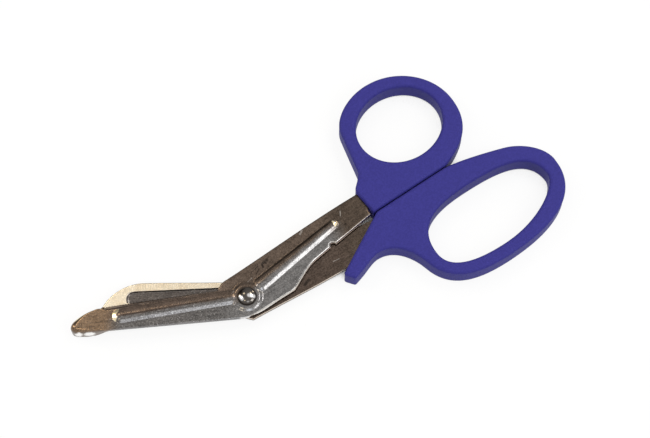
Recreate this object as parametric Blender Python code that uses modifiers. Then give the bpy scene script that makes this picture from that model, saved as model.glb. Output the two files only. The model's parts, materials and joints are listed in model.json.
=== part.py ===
"""Utility scissors with bent jaws: two stamped steel blades on one rivet, each with a moulded handle.

Everything is laid out around the rivet. X runs along the line where the handles close, from the
rivet towards the handles, Y points to the thumb ring, and Z stands on the table. The jaws are
bent away from that line, so they are drawn in jaw coordinates: u along the jaw and v across it.
The front blade lies on top, carries the thumb ring and ends in a blunt safety foot. The rear
blade lies under it, carries the finger loop and swings about the rivet.
"""

import math

import bmesh
import bpy
from mathutils import Matrix, Vector

MM = 0.001

# Sheet metal: both blades are cut from the same sheet and lie either side of the middle plane
SHEET_THICKNESS = 2.0 * MM
BLADE_RUNNING_GAP = 0.3 * MM
HANDLE_THICKNESS = 9.0 * MM

# Rivet
PIN_RADIUS = 2.2 * MM
PIN_CLEARANCE = 0.08 * MM
RIVET_HEAD_RADIUS = 3.45 * MM
RIVET_DOME_HEIGHT = 1.5 * MM
RIVET_TAIL_RADIUS = 3.3 * MM
RIVET_TAIL_HEIGHT = 0.9 * MM
RIVET_SEAT_GAP = 0.05 * MM
ROUND_SIDES = 48

# Pressed forms: a boss round the rivet, a rib along each shank and a bead along each jaw
BOSS_RADIUS = 5.4 * MM
BOSS_HEIGHT = 0.6 * MM
BOSS_ROUND = 0.5 * MM
FORM_HEIGHT = 0.9 * MM
FORM_ROUND = 0.8 * MM
FORM_CLEARANCE = 0.2 * MM
RIB_ROOT_RADIUS = 2.5 * MM
RIB_END_RADIUS = 1.9 * MM
RIB_REACH = 42.0 * MM
RIB_ANGLE = 7.3
BEAD_ROOT_RADIUS = 2.9 * MM
BEAD_END_RADIUS = 2.8 * MM
BEAD_REACH = 46.3 * MM
BEAD_ANGLE = -4.3
REAR_BEAD_ROOT_RADIUS = 3.7 * MM
REAR_BEAD_END_RADIUS = 3.6 * MM
REAR_BEAD_START = 9.0 * MM
REAR_BEAD_START_RISE = 2.0 * MM
REAR_BEAD_REACH = 40.9 * MM
REAR_BEAD_RISE = 3.3 * MM
PRESSED_WALL = 0.6 * MM
GROOVE_DEPTH = 0.8 * MM
GROOVE_START = 9.5 * MM

# Shank of each blade, from the rivet to the handle
FRONT_SHANK_REACH = 56.1 * MM
FRONT_OUTER_AT_PIVOT = 9.8 * MM
FRONT_OUTER_AT_HANDLE = 10.3 * MM
REAR_OUTER_AT_PIVOT = 7.6 * MM
REAR_OUTER_AT_TANG = 10.9 * MM
REAR_HEEL_X = -2.5 * MM
INNER_AT_HANDLE = 0.7 * MM
WAIST_X = 30.0 * MM
WAIST_DROP = 2.1 * MM
LOBE_X = 16.3 * MM
LOBE_DROP = 7.35 * MM
NOTCH_X = 37.3 * MM
NOTCH_RADIUS = 1.15 * MM

# Jaws
JAW_BEND = 30.0
JAW_ROOT = 10.6 * MM
FRONT_JAW_LENGTH = 52.1 * MM
SPINE_ROOT = 7.8 * MM
SPINE_TIP = 8.3 * MM
EDGE_ROOT = 3.9 * MM
EDGE_TIP = 0.9 * MM
REAR_JAW_LENGTH = 53.0 * MM
REAR_SPINE_START = 8.1 * MM
REAR_SPINE_ROOT = 7.1 * MM
REAR_SPINE_TIP = 9.3 * MM
REAR_ROUND_LENGTH = 15.5 * MM
TOOTH_PITCH = 1.0 * MM
TOOTH_DEPTH = 0.3 * MM
GRIND_WIDTH = 1.5 * MM
GRIND_LAND = 0.6 * MM

# Safety foot: the end of the front jaw, turned down almost to the table along its spine and tip
FOOT_LENGTH = 12.4 * MM
FOOT_WALL = 1.9 * MM
FOOT_ROUND = 0.9 * MM
FOOT_LIFT = 0.6 * MM
FOOT_RAMP = 4.5 * MM
FOOT_SHOULDER = 2.9 * MM
FOOT_NECK = -0.1 * MM

# Tangs inside the handles
TANG_CLEARANCE = 0.3 * MM
TANG_EDGE = 2.6 * MM
TANG_LENGTH = 27.9 * MM
TANG_END_WIDTH = 4.2 * MM
REAR_TANG_SETBACK = 12.1 * MM
ANCHOR_REACH = 12.9 * MM
ANCHOR_Y = 5.6 * MM
ANCHOR_HOLE_RADIUS = 1.7 * MM

# Thumb handle: its front seats just behind the shoulder of the front blade's shank
CLOSED_GAP = 0.4 * MM
EDGE_ROUND = 0.8 * MM
SHOULDER_GAP = 0.5 * MM
COLLAR_LEAN = 0.7 * MM
NECK_LENGTH = 4.1 * MM
NECK_RISE = 4.9 * MM
THUMB_HOLE_SETBACK = 28.6 * MM
THUMB_HOLE_Y = 23.9 * MM
THUMB_HOLE_HALF_LENGTH = 17.0 * MM
THUMB_HOLE_HALF_WIDTH = 14.8 * MM
THUMB_BAND = 5.7 * MM

# Finger handle: a long hole behind the thumb hole's line and a hook in front of it
FINGER_FRONT_SETBACK = 1.0 * MM
FINGER_FRONT_ANGLE = 28.6
FINGER_HOLE_SETBACK = 8.7 * MM
FINGER_HOLE_LENGTH = 52.4 * MM
FINGER_HOLE_TOP = 10.7 * MM
FINGER_HOLE_WIDTH = 26.5 * MM
FINGER_BAND = 5.9 * MM
FINGER_BAND_BELOW = 4.8 * MM
FINGER_BAND_LEFT = 5.2 * MM
HOOK_LENGTH = 24.3 * MM
HOOK_DROP = 17.3 * MM
HOOK_ROUND = 1.0 * MM
SADDLE_LENGTH = 9.1 * MM
SADDLE_DROP = 13.75 * MM

HANDLE_PURPLE = (0.052, 0.048, 0.260)
BLADE_STEEL = (0.130, 0.105, 0.088)
RIVET_STEEL = (0.420, 0.400, 0.370)

MIDDLE = HANDLE_THICKNESS / 2
FRONT_BOTTOM = MIDDLE + BLADE_RUNNING_GAP / 2
FRONT_TOP = FRONT_BOTTOM + SHEET_THICKNESS
REAR_TOP = MIDDLE - BLADE_RUNNING_GAP / 2
REAR_BOTTOM = REAR_TOP - SHEET_THICKNESS
REAR_TANG_START = FRONT_SHANK_REACH - REAR_TANG_SETBACK
TANG_END_X = FRONT_SHANK_REACH + TANG_LENGTH
TANG_END_Y = TANG_EDGE + TANG_END_WIDTH
ANCHOR_X = FRONT_SHANK_REACH + ANCHOR_REACH
THUMB_FRONT_X = FRONT_SHANK_REACH + SHOULDER_GAP
COLLAR_X = THUMB_FRONT_X - COLLAR_LEAN
COLLAR_Y = FRONT_OUTER_AT_HANDLE
NECK_X = COLLAR_X + NECK_LENGTH
NECK_Y = COLLAR_Y + NECK_RISE
THUMB_HOLE_X = THUMB_FRONT_X + THUMB_HOLE_SETBACK
FINGER_FRONT_X = THUMB_FRONT_X + FINGER_FRONT_SETBACK
FINGER_FRONT_SLOPE = math.tan(math.radians(FINGER_FRONT_ANGLE))
REAR_SHOULDER_GAP = TANG_CLEARANCE / math.sin(math.radians(FINGER_FRONT_ANGLE))
FINGER_HOLE_LEFT = FINGER_FRONT_X + FINGER_HOLE_SETBACK
FINGER_HOLE_RIGHT = FINGER_HOLE_LEFT + FINGER_HOLE_LENGTH
FINGER_HOLE_MIDDLE = FINGER_HOLE_LEFT + 0.45 * FINGER_HOLE_LENGTH
FINGER_HOLE_BOTTOM = FINGER_HOLE_TOP + FINGER_HOLE_WIDTH
HOOK_X = FINGER_FRONT_X - HOOK_LENGTH
SADDLE_X = FINGER_FRONT_X - SADDLE_LENGTH


def jaw(u, v):
    """Point of the plan from jaw coordinates: u towards the tip, v towards the thumb side."""
    angle = math.radians(JAW_BEND)
    along = Vector((-math.cos(angle), math.sin(angle)))
    across = Vector((math.sin(angle), math.cos(angle)))
    return along * u + across * v


def jaw_heading(degrees=0.0):
    """Heading in the plan of a line towards the jaw's tip that is turned towards +v by degrees."""
    return 180.0 - JAW_BEND - degrees


def corner(point):
    """Knot where the outline turns sharply."""
    return (Vector(point), None, 0.0, 0.0)


def bend(point, heading, before, after):
    """Knot that the outline passes smoothly, with a heading in degrees and a reach to each side."""
    angle = math.radians(heading)
    return (Vector(point), Vector((math.cos(angle), math.sin(angle))), before, after)


def trace(knots, steps=10):
    """Points of the closed outline through the knots, straight where neither end has a reach."""
    points = []
    for here, there in zip(knots, knots[1:] + knots[:1]):
        p0, heading0, _, reach0 = here
        p3, heading3, reach3, _ = there
        points.append(p0.copy())
        if not reach0 and not reach3:
            continue
        p1 = p0 + heading0 * reach0 if reach0 else p0
        p2 = p3 - heading3 * reach3 if reach3 else p3
        for step in range(1, steps):
            t = step / steps
            s = 1 - t
            points.append(p0 * s**3 + p1 * 3 * s * s * t + p2 * 3 * s * t * t + p3 * t**3)
    return points


def heading_of(line):
    """Heading of a line in degrees."""
    return math.degrees(math.atan2(line.y, line.x))


def round_corner(before, point, after, radius):
    """Two knots that round the corner of a straight-sided outline with an arc."""
    arriving = (point - before).normalized()
    leaving = (after - point).normalized()
    turn = arriving.angle(leaving)
    cut = radius * math.tan(turn / 2)
    reach = radius * math.tan(turn / 4) * 4 / 3
    return [
        bend(point - arriving * cut, heading_of(arriving), 0, reach),
        bend(point + leaving * cut, heading_of(leaving), reach, 0),
    ]


def circle(centre, radius, sides=ROUND_SIDES):
    """Points of a circle in the plan, half a step round from a cylinder's."""
    turns = [2 * math.pi * (i + 0.5) / sides for i in range(sides)]
    return [Vector(centre) + Vector((math.cos(a), math.sin(a))) * radius for a in turns]


def long_form(end, start_radius, end_radius, start=(0.0, 0.0), sides=12):
    """Points of a long form with two round ends that may differ in size."""
    start = Vector(start)
    line = Vector(end) - start
    heading = math.atan2(line.y, line.x)
    lean = math.acos((start_radius - end_radius) / line.length)
    points = []
    for i in range(sides + 1):
        angle = heading + lean + (2 * math.pi - 2 * lean) * i / sides
        points.append(start + Vector((math.cos(angle), math.sin(angle))) * start_radius)
    for i in range(sides + 1):
        angle = heading - lean + 2 * lean * i / sides
        points.append(start + line + Vector((math.cos(angle), math.sin(angle))) * end_radius)
    return points


def grown(points, by):
    """The same straight-sided counterclockwise outline with every side moved outwards."""
    result = []
    for before, here, after in zip(points[-1:] + points[:-1], points, points[1:] + points[:1]):
        side_in = (here - before).normalized()
        side_out = (after - here).normalized()
        normal_in = Vector((side_in.y, -side_in.x))
        normal_out = Vector((side_out.y, -side_out.x))
        middle = (normal_in + normal_out).normalized()
        result.append(here + middle * (by / middle.dot(normal_in)))
    return result


def collection(name):
    """New collection of the scene."""
    group = bpy.data.collections.new(name)
    bpy.context.scene.collection.children.link(group)
    return group


def material(name, colour, roughness, metallic):
    """Plain Principled material of one kind of part."""
    made = bpy.data.materials.new(name)
    made.use_nodes = True
    shader = made.node_tree.nodes["Principled BSDF"]
    shader.inputs["Base Color"].default_value = (*colour, 1.0)
    shader.inputs["Roughness"].default_value = roughness
    shader.inputs["Metallic"].default_value = metallic
    return made


def plate(name, outlines, bottom, top, group, edge_round=0.0, round_steps=1):
    """Solid between two heights from outlines in the plan: the first is the rim, the rest are holes."""
    curve = bpy.data.curves.new(name, "CURVE")
    curve.dimensions = "2D"
    curve.fill_mode = "BOTH"
    curve.extrude = (top - bottom) / 2 - edge_round
    curve.bevel_depth = edge_round
    curve.bevel_resolution = round_steps
    curve.offset = -edge_round
    for outline in outlines:
        spline = curve.splines.new("POLY")
        spline.points.add(len(outline) - 1)
        for point, place in zip(spline.points, outline):
            point.co = (place.x, place.y, 0.0, 1.0)
        spline.use_cyclic_u = True
    drawn = bpy.data.objects.new(name + "_outline", curve)
    drawn.location.z = (bottom + top) / 2
    group.objects.link(drawn)
    bpy.context.view_layer.update()
    depsgraph = bpy.context.evaluated_depsgraph_get()
    mesh = bpy.data.meshes.new_from_object(drawn.evaluated_get(depsgraph))
    made = bpy.data.objects.new(name, mesh)
    made.matrix_world = drawn.matrix_world
    group.objects.link(made)
    bpy.data.objects.remove(drawn)
    welded = bmesh.new()
    welded.from_mesh(mesh)
    bmesh.ops.remove_doubles(welded, verts=welded.verts, dist=0.002 * MM)
    bmesh.ops.recalc_face_normals(welded, faces=welded.faces)
    welded.to_mesh(mesh)
    welded.free()
    return made


def move_to(group, part):
    """Puts a part in one collection only."""
    for owner in list(part.users_collection):
        owner.objects.unlink(part)
    group.objects.link(part)


def combine(target, tool, operation):
    """Joins a tool to a part, or cuts it away. The tool stays as a guide that isn't built."""
    tool.hide_render = True
    tool.display_type = "WIRE"
    boolean = target.modifiers.new(f"{operation.lower()} {tool.name}", "BOOLEAN")
    boolean.operation = operation
    boolean.object = tool


def upright_tool(name, radius, bottom, top, group):
    """Cylinder round the rivet's axis, as a cutter or an addition."""
    bpy.ops.mesh.primitive_cylinder_add(
        vertices=ROUND_SIDES, radius=radius, depth=top - bottom, location=(0, 0, (bottom + top) / 2)
    )
    made = bpy.context.object
    made.name = name
    move_to(group, made)
    return made


def grinding_tool(name, start, end, outer_side, group):
    """Tilted block that grinds a cutting edge thin on its outer face: +1 is above and -1 below.

    The blade lies to the right of the way from start to end.
    """
    bpy.ops.mesh.primitive_cube_add(size=1.0)
    made = bpy.context.object
    made.name = name
    move_to(group, made)
    along = end - start
    depth = 3 * SHEET_THICKNESS
    width = 4 * GRIND_WIDTH
    for vertex in made.data.vertices:
        vertex.co.x *= along.length
        vertex.co.y = vertex.co.y * width + width / 2 - GRIND_WIDTH
        vertex.co.z = (vertex.co.z + outer_side * 0.5) * depth
    fall = math.atan2(SHEET_THICKNESS - GRIND_LAND, GRIND_WIDTH)
    edge_height = FRONT_BOTTOM + GRIND_LAND if outer_side > 0 else REAR_TOP - GRIND_LAND
    middle = (start + end) / 2
    turn = Matrix.Rotation(math.atan2(along.y, along.x), 4, "Z")
    lean = Matrix.Rotation(-outer_side * fall, 4, "X")
    made.matrix_world = Matrix.Translation((middle.x, middle.y, edge_height)) @ turn @ lean
    return made


def toothed_edge(start, end):
    """Corners of a saw-like edge from start to end. The metal lies to the right of that way."""
    along = (end - start).normalized()
    inward = Vector((along.y, -along.x))
    count = max(1, round((end - start).length / TOOTH_PITCH))
    pitch = (end - start).length / count
    knots = []
    for tooth in range(count):
        knots.append(corner(start + along * (tooth * pitch)))
        knots.append(corner(start + along * ((tooth + 0.5) * pitch) + inward * TOOTH_DEPTH))
    return knots + [corner(end)]


def inner_edge(reach, side):
    """Knots of a shank's inner edge from the handle to the lobe: side -1 on the front blade, +1 on
    the rear one, which is stamped the other way round."""
    fall = (INNER_AT_HANDLE + WAIST_DROP) / (FRONT_SHANK_REACH - WAIST_X)
    notch = WAIST_DROP - fall * (NOTCH_X - WAIST_X)
    start = WAIST_DROP - fall * (reach - WAIST_X)
    soft = 0.55 * NOTCH_RADIUS
    before_notch = (NOTCH_X + NOTCH_RADIUS, side * notch)
    after_notch = (NOTCH_X - NOTCH_RADIUS, side * notch)
    return [
        corner((reach, side * start)),
        bend(before_notch, 180 + side * 90, 0, soft),
        bend((NOTCH_X, side * (notch - NOTCH_RADIUS)), 180, soft, soft),
        bend(after_notch, 180 - side * 90, soft, 0),
        bend((WAIST_X, side * WAIST_DROP), 180 - side * 5, 0, 5 * MM),
        bend((LOBE_X, side * LOBE_DROP), 180 - side * 22, 4 * MM, 0.8 * MM),
        bend((LOBE_X / 2, side * LOBE_DROP), 180, 4 * MM, 4 * MM),
    ]


def front_outline(inset=0.0):
    """Rim of the front blade from the end of its tang along the spine, the foot and back along the
    cutting edge. Along the foot it is inset, because the foot's own block rounds that edge."""
    foot_end = FRONT_JAW_LENGTH + FOOT_LENGTH
    return trace([
        corner((TANG_END_X, TANG_END_Y)),
        corner((TANG_END_X, TANG_EDGE)),
        corner((FRONT_SHANK_REACH, TANG_EDGE)),
        *inner_edge(FRONT_SHANK_REACH, -1),
        bend(jaw(3 * MM, -SPINE_ROOT), jaw_heading(), 5 * MM, 0),
        corner(jaw(FRONT_JAW_LENGTH + inset, -SPINE_TIP)),
        corner(jaw(FRONT_JAW_LENGTH + inset, -SPINE_TIP + inset)),
        *foot_rim(foot_end, inset),
        *toothed_edge(jaw(FRONT_JAW_LENGTH, EDGE_TIP), jaw(JAW_ROOT, EDGE_ROOT)),
        bend(jaw(JAW_ROOT - 1.3 * MM, EDGE_ROOT + 1.6 * MM), 30, 1.0 * MM, 1.0 * MM),
        bend((0, FRONT_OUTER_AT_PIVOT), 0, 3 * MM, 0),
        corner((FRONT_SHANK_REACH, FRONT_OUTER_AT_HANDLE)),
    ])


def foot_rim(foot_end, inset=0.0):
    """Knots of the foot's rim from its spine round the tip to the start of the cutting edge."""
    return [
        bend(jaw(foot_end - 3.2 * MM, inset - SPINE_TIP), jaw_heading(), 0, 1.8 * MM),
        bend(jaw(foot_end - inset, 2.2 * MM - SPINE_TIP), jaw_heading(90), 1.2 * MM, 1.3 * MM),
        bend(jaw(foot_end - 2.5 * MM, -FOOT_SHOULDER - inset), jaw_heading(148), 1.6 * MM, 2.0 * MM),
        bend(jaw(FRONT_JAW_LENGTH + 2.4 * MM, -FOOT_NECK - inset), jaw_heading(164), 3 * MM, 0),
    ]


def finger_front_x(drop):
    """X of the finger handle's slanted front at a distance below the closing line."""
    return FINGER_FRONT_X - (drop - CLOSED_GAP / 2) / FINGER_FRONT_SLOPE


def rear_outline():
    """Rim of the rear blade from the end of its tang along the spine, round the tip, back along the
    cutting edge and along the outer side of the shank. Its shoulder follows its handle's slant."""
    round_start = REAR_JAW_LENGTH - REAR_ROUND_LENGTH
    rise = math.degrees(math.atan2(REAR_SPINE_TIP - REAR_SPINE_ROOT, round_start - REAR_SPINE_START))
    return trace([
        corner((TANG_END_X, -TANG_END_Y)),
        corner((TANG_END_X, -TANG_EDGE)),
        corner((finger_front_x(TANG_EDGE) - REAR_SHOULDER_GAP, -TANG_EDGE)),
        *inner_edge(finger_front_x(INNER_AT_HANDLE) - REAR_SHOULDER_GAP, 1),
        bend(jaw(REAR_SPINE_START, REAR_SPINE_ROOT), jaw_heading(rise), 4 * MM, 0),
        bend(jaw(round_start, REAR_SPINE_TIP), jaw_heading(rise / 2), 0, 7.5 * MM),
        bend(jaw(REAR_JAW_LENGTH, 0.4 * MM), jaw_heading(-70), 4.5 * MM, 0.4 * MM),
        corner(jaw(REAR_JAW_LENGTH - 0.6 * MM, -EDGE_TIP)),
        corner(jaw(JAW_ROOT, -EDGE_ROOT)),
        corner((REAR_HEEL_X, -REAR_OUTER_AT_PIVOT)),
        corner((REAR_TANG_START, -REAR_OUTER_AT_TANG)),
    ])


def front_socket():
    """Straight-sided outline of the front blade inside its handle, open to the front."""
    entry = FRONT_SHANK_REACH - 3 * MM
    return [
        Vector((entry, TANG_EDGE)),
        Vector((TANG_END_X, TANG_EDGE)),
        Vector((TANG_END_X, TANG_END_Y)),
        Vector((FRONT_SHANK_REACH, FRONT_OUTER_AT_HANDLE)),
        Vector((entry, FRONT_OUTER_AT_HANDLE)),
    ]


def rear_socket():
    """Straight-sided outline of the rear blade inside its handle, open to the slanted front."""
    entry = HOOK_X - 4 * MM
    share = (entry - REAR_HEEL_X) / (REAR_TANG_START - REAR_HEEL_X)
    outer = REAR_OUTER_AT_PIVOT + share * (REAR_OUTER_AT_TANG - REAR_OUTER_AT_PIVOT)
    return [
        Vector((entry, -outer)),
        Vector((REAR_TANG_START, -REAR_OUTER_AT_TANG)),
        Vector((TANG_END_X, -TANG_END_Y)),
        Vector((TANG_END_X, -TANG_EDGE)),
        Vector((entry, -TANG_EDGE)),
    ]


def thumb_outline():
    """Rim of the thumb handle from the front of its closing face round the ring to its collar."""
    right = THUMB_HOLE_X + THUMB_HOLE_HALF_LENGTH + THUMB_BAND
    top = THUMB_HOLE_Y + THUMB_HOLE_HALF_WIDTH + THUMB_BAND
    left = THUMB_HOLE_X - THUMB_HOLE_HALF_LENGTH - THUMB_BAND
    closing = CLOSED_GAP / 2
    side_heading = 257
    side_length = 16.5 * MM
    side_start = Vector((left + 2.4 * MM, THUMB_HOLE_Y + 9.3 * MM))
    return trace([
        corner((THUMB_FRONT_X, closing)),
        bend((THUMB_HOLE_X + 1.5 * MM, closing), 0, 0, 2.5 * MM),
        bend((THUMB_HOLE_X + 7.0 * MM, closing + 0.9 * MM), 22, 2.5 * MM, 8 * MM),
        bend((right, THUMB_HOLE_Y - 2.2 * MM), 90, 13 * MM, 12.5 * MM),
        bend((THUMB_HOLE_X - 1.5 * MM, top), 180, 13 * MM, 8.5 * MM),
        bend(side_start, side_heading, 6.5 * MM, 0),
        bend(side_start + Vector((-0.225, -0.974)) * side_length, side_heading, 0, 1 * MM),
        bend((NECK_X - 1.6 * MM, NECK_Y - 1.6 * MM), 222, 1 * MM, 1.3 * MM),
        bend((COLLAR_X, COLLAR_Y), 268, 1.5 * MM, 0),
    ])


def thumb_hole():
    """Oval thumb hole."""
    centre = Vector((THUMB_HOLE_X, THUMB_HOLE_Y))
    turns = [2 * math.pi * i / ROUND_SIDES for i in range(ROUND_SIDES)]
    return [
        centre + Vector((THUMB_HOLE_HALF_LENGTH * math.cos(a), THUMB_HOLE_HALF_WIDTH * math.sin(a)))
        for a in turns
    ]


def finger_outline():
    """Rim of the finger handle from its closing face round the loop to the hook and the slanted
    front edge."""
    right = FINGER_HOLE_RIGHT + FINGER_BAND
    bottom = -FINGER_HOLE_BOTTOM - FINGER_BAND_BELOW
    left = FINGER_HOLE_LEFT - FINGER_BAND_LEFT
    closing = -CLOSED_GAP / 2
    front = Vector((FINGER_FRONT_X, closing))
    nose = Vector((HOOK_X, closing - (FINGER_FRONT_X - HOOK_X) * FINGER_FRONT_SLOPE))
    toe = Vector((HOOK_X + 2.9 * MM, -HOOK_DROP))
    instep = Vector((HOOK_X + 7.4 * MM, 1.3 * MM - HOOK_DROP))
    return trace([
        corner(front),
        bend((THUMB_HOLE_X + 2.0 * MM, closing), 0, 0, 5 * MM),
        bend((right - 12.8 * MM, -FINGER_HOLE_TOP + 4.4 * MM), -19, 9.5 * MM, 6.5 * MM),
        bend((right, -FINGER_HOLE_TOP - 10.1 * MM), -90, 6.2 * MM, 16.2 * MM),
        bend((FINGER_HOLE_MIDDLE, bottom), 180, 19 * MM, 15 * MM),
        bend((left, -FINGER_HOLE_TOP - 15.8 * MM), 102, 12.9 * MM, 3.7 * MM),
        bend((SADDLE_X, -SADDLE_DROP), 180, 8.3 * MM, 2.4 * MM),
        bend(instep, heading_of(toe - instep), 1.5 * MM, 0),
        *round_corner(instep, toe, nose, HOOK_ROUND),
        *round_corner(toe, nose, front, HOOK_ROUND),
    ])


def finger_hole():
    """Long finger hole, fuller towards the hook."""
    return trace([
        bend((FINGER_HOLE_RIGHT, -FINGER_HOLE_TOP - 13.2 * MM), -90, 11.2 * MM, 5.1 * MM),
        bend((FINGER_HOLE_MIDDLE, -FINGER_HOLE_BOTTOM), 180, 15.5 * MM, 13.7 * MM),
        bend((FINGER_HOLE_LEFT, -FINGER_HOLE_TOP - 15.4 * MM), 90, 8.2 * MM, 12.2 * MM),
        bend((FINGER_HOLE_MIDDLE, -FINGER_HOLE_TOP), 0, 13.8 * MM, 17.2 * MM),
    ])


def pressed_form(name, outline, outer_side, height, edge_round, group):
    """Raised form on the outer face of a blade: +1 is the front blade's upper face."""
    sunk = edge_round + 0.3 * MM
    if outer_side > 0:
        return plate(name, [outline], FRONT_TOP - sunk, FRONT_TOP + height, group, edge_round)
    return plate(name, [outline], REAR_BOTTOM - height, REAR_BOTTOM + sunk, group, edge_round)


def groove_tool(name, outline, outer_side, group):
    """Cutter for the hollow that a pressed form leaves on the inner face of its blade."""
    if outer_side > 0:
        return plate(name, [outline], FRONT_BOTTOM - SHEET_THICKNESS, FRONT_BOTTOM + GROOVE_DEPTH, group)
    return plate(name, [outline], REAR_TOP - GROOVE_DEPTH, REAR_TOP + SHEET_THICKNESS, group)


def press(blade, name, start, end, radii, outer_side, tools):
    """Presses a long form into a blade: raised on its outer face and hollow on its inner one."""
    form = long_form(end, *radii, start)
    combine(blade, pressed_form(name, form, outer_side, FORM_HEIGHT, FORM_ROUND, tools), "UNION")
    hollow_start = start
    if start.length < GROOVE_START:
        hollow_start = end.normalized() * GROOVE_START
    inner = [radius - PRESSED_WALL for radius in radii]
    hollow = long_form(end, *inner, hollow_start)
    combine(blade, groove_tool(name + "_groove", hollow, outer_side, tools), "DIFFERENCE")


def pierce(blade, name, outer_side, tools):
    """Raises the boss round the rivet and pierces the blade for it."""
    boss = circle((0, 0), BOSS_RADIUS)
    combine(blade, pressed_form(name + "_boss", boss, outer_side, BOSS_HEIGHT, BOSS_ROUND, tools), "UNION")
    hole = upright_tool(name + "_rivet_hole", PIN_RADIUS + PIN_CLEARANCE, 0, HANDLE_THICKNESS, tools)
    combine(blade, hole, "DIFFERENCE")


def turned_towards(degrees, reach):
    """Point of the plan at a heading and a distance from the rivet."""
    angle = math.radians(degrees)
    return Vector((math.cos(angle), math.sin(angle))) * reach


def foot_block(tools):
    """The foot's own block, hollowed from behind so that a wall is left along its spine and tip."""
    foot_end = FRONT_JAW_LENGTH + FOOT_LENGTH
    foot_start = FRONT_JAW_LENGTH - FOOT_ROUND
    outline = trace([
        corner(jaw(foot_start, -SPINE_TIP)),
        *foot_rim(foot_end),
        corner(jaw(foot_start, -FOOT_NECK)),
    ])
    block = plate("foot_block", [outline], FOOT_LIFT, FRONT_TOP, tools, FOOT_ROUND, 2)
    hollow_start = foot_start - FOOT_WALL
    hollow_end = foot_end - FOOT_WALL
    pocket = trace([
        corner(jaw(hollow_start, FOOT_WALL - SPINE_TIP)),
        bend(jaw(hollow_end - 1.5 * MM, FOOT_WALL - SPINE_TIP), jaw_heading(), 0, 0.8 * MM),
        bend(jaw(hollow_end, FOOT_WALL - SPINE_TIP + 1.5 * MM), jaw_heading(90), 0.8 * MM, 0),
        corner(jaw(hollow_end, FOOT_WALL)),
        corner(jaw(hollow_start, FOOT_WALL)),
    ], steps=5)
    hollow = plate("foot_hollow", [pocket], -1 * MM, FRONT_BOTTOM, tools)
    combine(block, hollow, "DIFFERENCE")
    combine(block, foot_relief(foot_start, tools), "DIFFERENCE")
    return block


def foot_relief(foot_start, group):
    """Cutter with a sloping end, so that the turned-down wall grows gradually out of the sheet."""
    sides = []
    for across in (2 * FOOT_WALL, -2 * SPINE_TIP):
        base = jaw(foot_start - FOOT_WALL, across)
        ramp_top = jaw(foot_start + 0.5 * MM, across)
        ramp_end = jaw(foot_start + FOOT_RAMP, across)
        for place, height in ((base, -1 * MM), (base, FRONT_BOTTOM), (ramp_top, FRONT_BOTTOM),
                              (ramp_end, FOOT_LIFT), (ramp_end, -1 * MM)):
            sides.append((place.x, place.y, height))
    count = len(sides) // 2
    faces = [list(range(count)), list(range(count, 2 * count))]
    for i in range(count):
        after = (i + 1) % count
        faces.append([i, after, count + after, count + i])
    mesh = bpy.data.meshes.new("foot_relief")
    mesh.from_pydata(sides, [], faces)
    turned = bmesh.new()
    turned.from_mesh(mesh)
    bmesh.ops.recalc_face_normals(turned, faces=turned.faces)
    turned.to_mesh(mesh)
    turned.free()
    made = bpy.data.objects.new("foot_relief", mesh)
    group.objects.link(made)
    return made


def front_blade(parts, tools):
    """Upper blade, with its toothed jaw, safety foot and pierced tang."""
    anchor = circle((ANCHOR_X, ANCHOR_Y), ANCHOR_HOLE_RADIUS, 24)
    blade = plate("front_blade", [front_outline(FOOT_ROUND), anchor], FRONT_BOTTOM, FRONT_TOP, parts)
    combine(blade, foot_block(tools), "UNION")
    head_room = RIVET_HEAD_RADIUS + FORM_CLEARANCE
    rib_start = turned_towards(RIB_ANGLE, head_room + RIB_ROOT_RADIUS)
    rib_end = turned_towards(RIB_ANGLE, RIB_REACH)
    press(blade, "front_rib", rib_start, rib_end, (RIB_ROOT_RADIUS, RIB_END_RADIUS), 1, tools)
    bead_start = turned_towards(jaw_heading(BEAD_ANGLE), head_room + BEAD_ROOT_RADIUS)
    bead_end = turned_towards(jaw_heading(BEAD_ANGLE), BEAD_REACH)
    press(blade, "front_bead", bead_start, bead_end, (BEAD_ROOT_RADIUS, BEAD_END_RADIUS), 1, tools)
    pierce(blade, "front", 1, tools)
    edge = grinding_tool("front_grinding", jaw(FRONT_JAW_LENGTH, EDGE_TIP), jaw(JAW_ROOT, EDGE_ROOT), 1, tools)
    combine(blade, edge, "DIFFERENCE")
    return blade


def rear_blade(parts, tools):
    """Lower blade, with its round-ended jaw and pierced tang."""
    anchor = circle((ANCHOR_X, -ANCHOR_Y), ANCHOR_HOLE_RADIUS, 24)
    blade = plate("rear_blade", [rear_outline(), anchor], REAR_BOTTOM, REAR_TOP, parts)
    bead_start = jaw(REAR_BEAD_START, REAR_BEAD_START_RISE)
    bead_end = jaw(REAR_BEAD_REACH, REAR_BEAD_RISE)
    press(blade, "rear_bead", bead_start, bead_end, (REAR_BEAD_ROOT_RADIUS, REAR_BEAD_END_RADIUS), -1, tools)
    pierce(blade, "rear", -1, tools)
    edge = grinding_tool("rear_grinding", jaw(JAW_ROOT, -EDGE_ROOT), jaw(REAR_JAW_LENGTH, -EDGE_TIP), -1, tools)
    combine(blade, edge, "DIFFERENCE")
    return blade


def handle(name, outlines, socket, side, bottom, top, parts, tools):
    """Moulded handle with the hollow that its blade's tang fills, round a plug in the tang's hole."""
    body = plate(name, outlines, 0.0, HANDLE_THICKNESS, parts, EDGE_ROUND, 2)
    plug = circle((ANCHOR_X, side * ANCHOR_Y), ANCHOR_HOLE_RADIUS - TANG_CLEARANCE, 24)
    cutter = plate(
        name + "_socket", [grown(socket, TANG_CLEARANCE), plug],
        bottom - TANG_CLEARANCE, top + TANG_CLEARANCE, tools,
    )
    combine(body, cutter, "DIFFERENCE")
    return body


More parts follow.
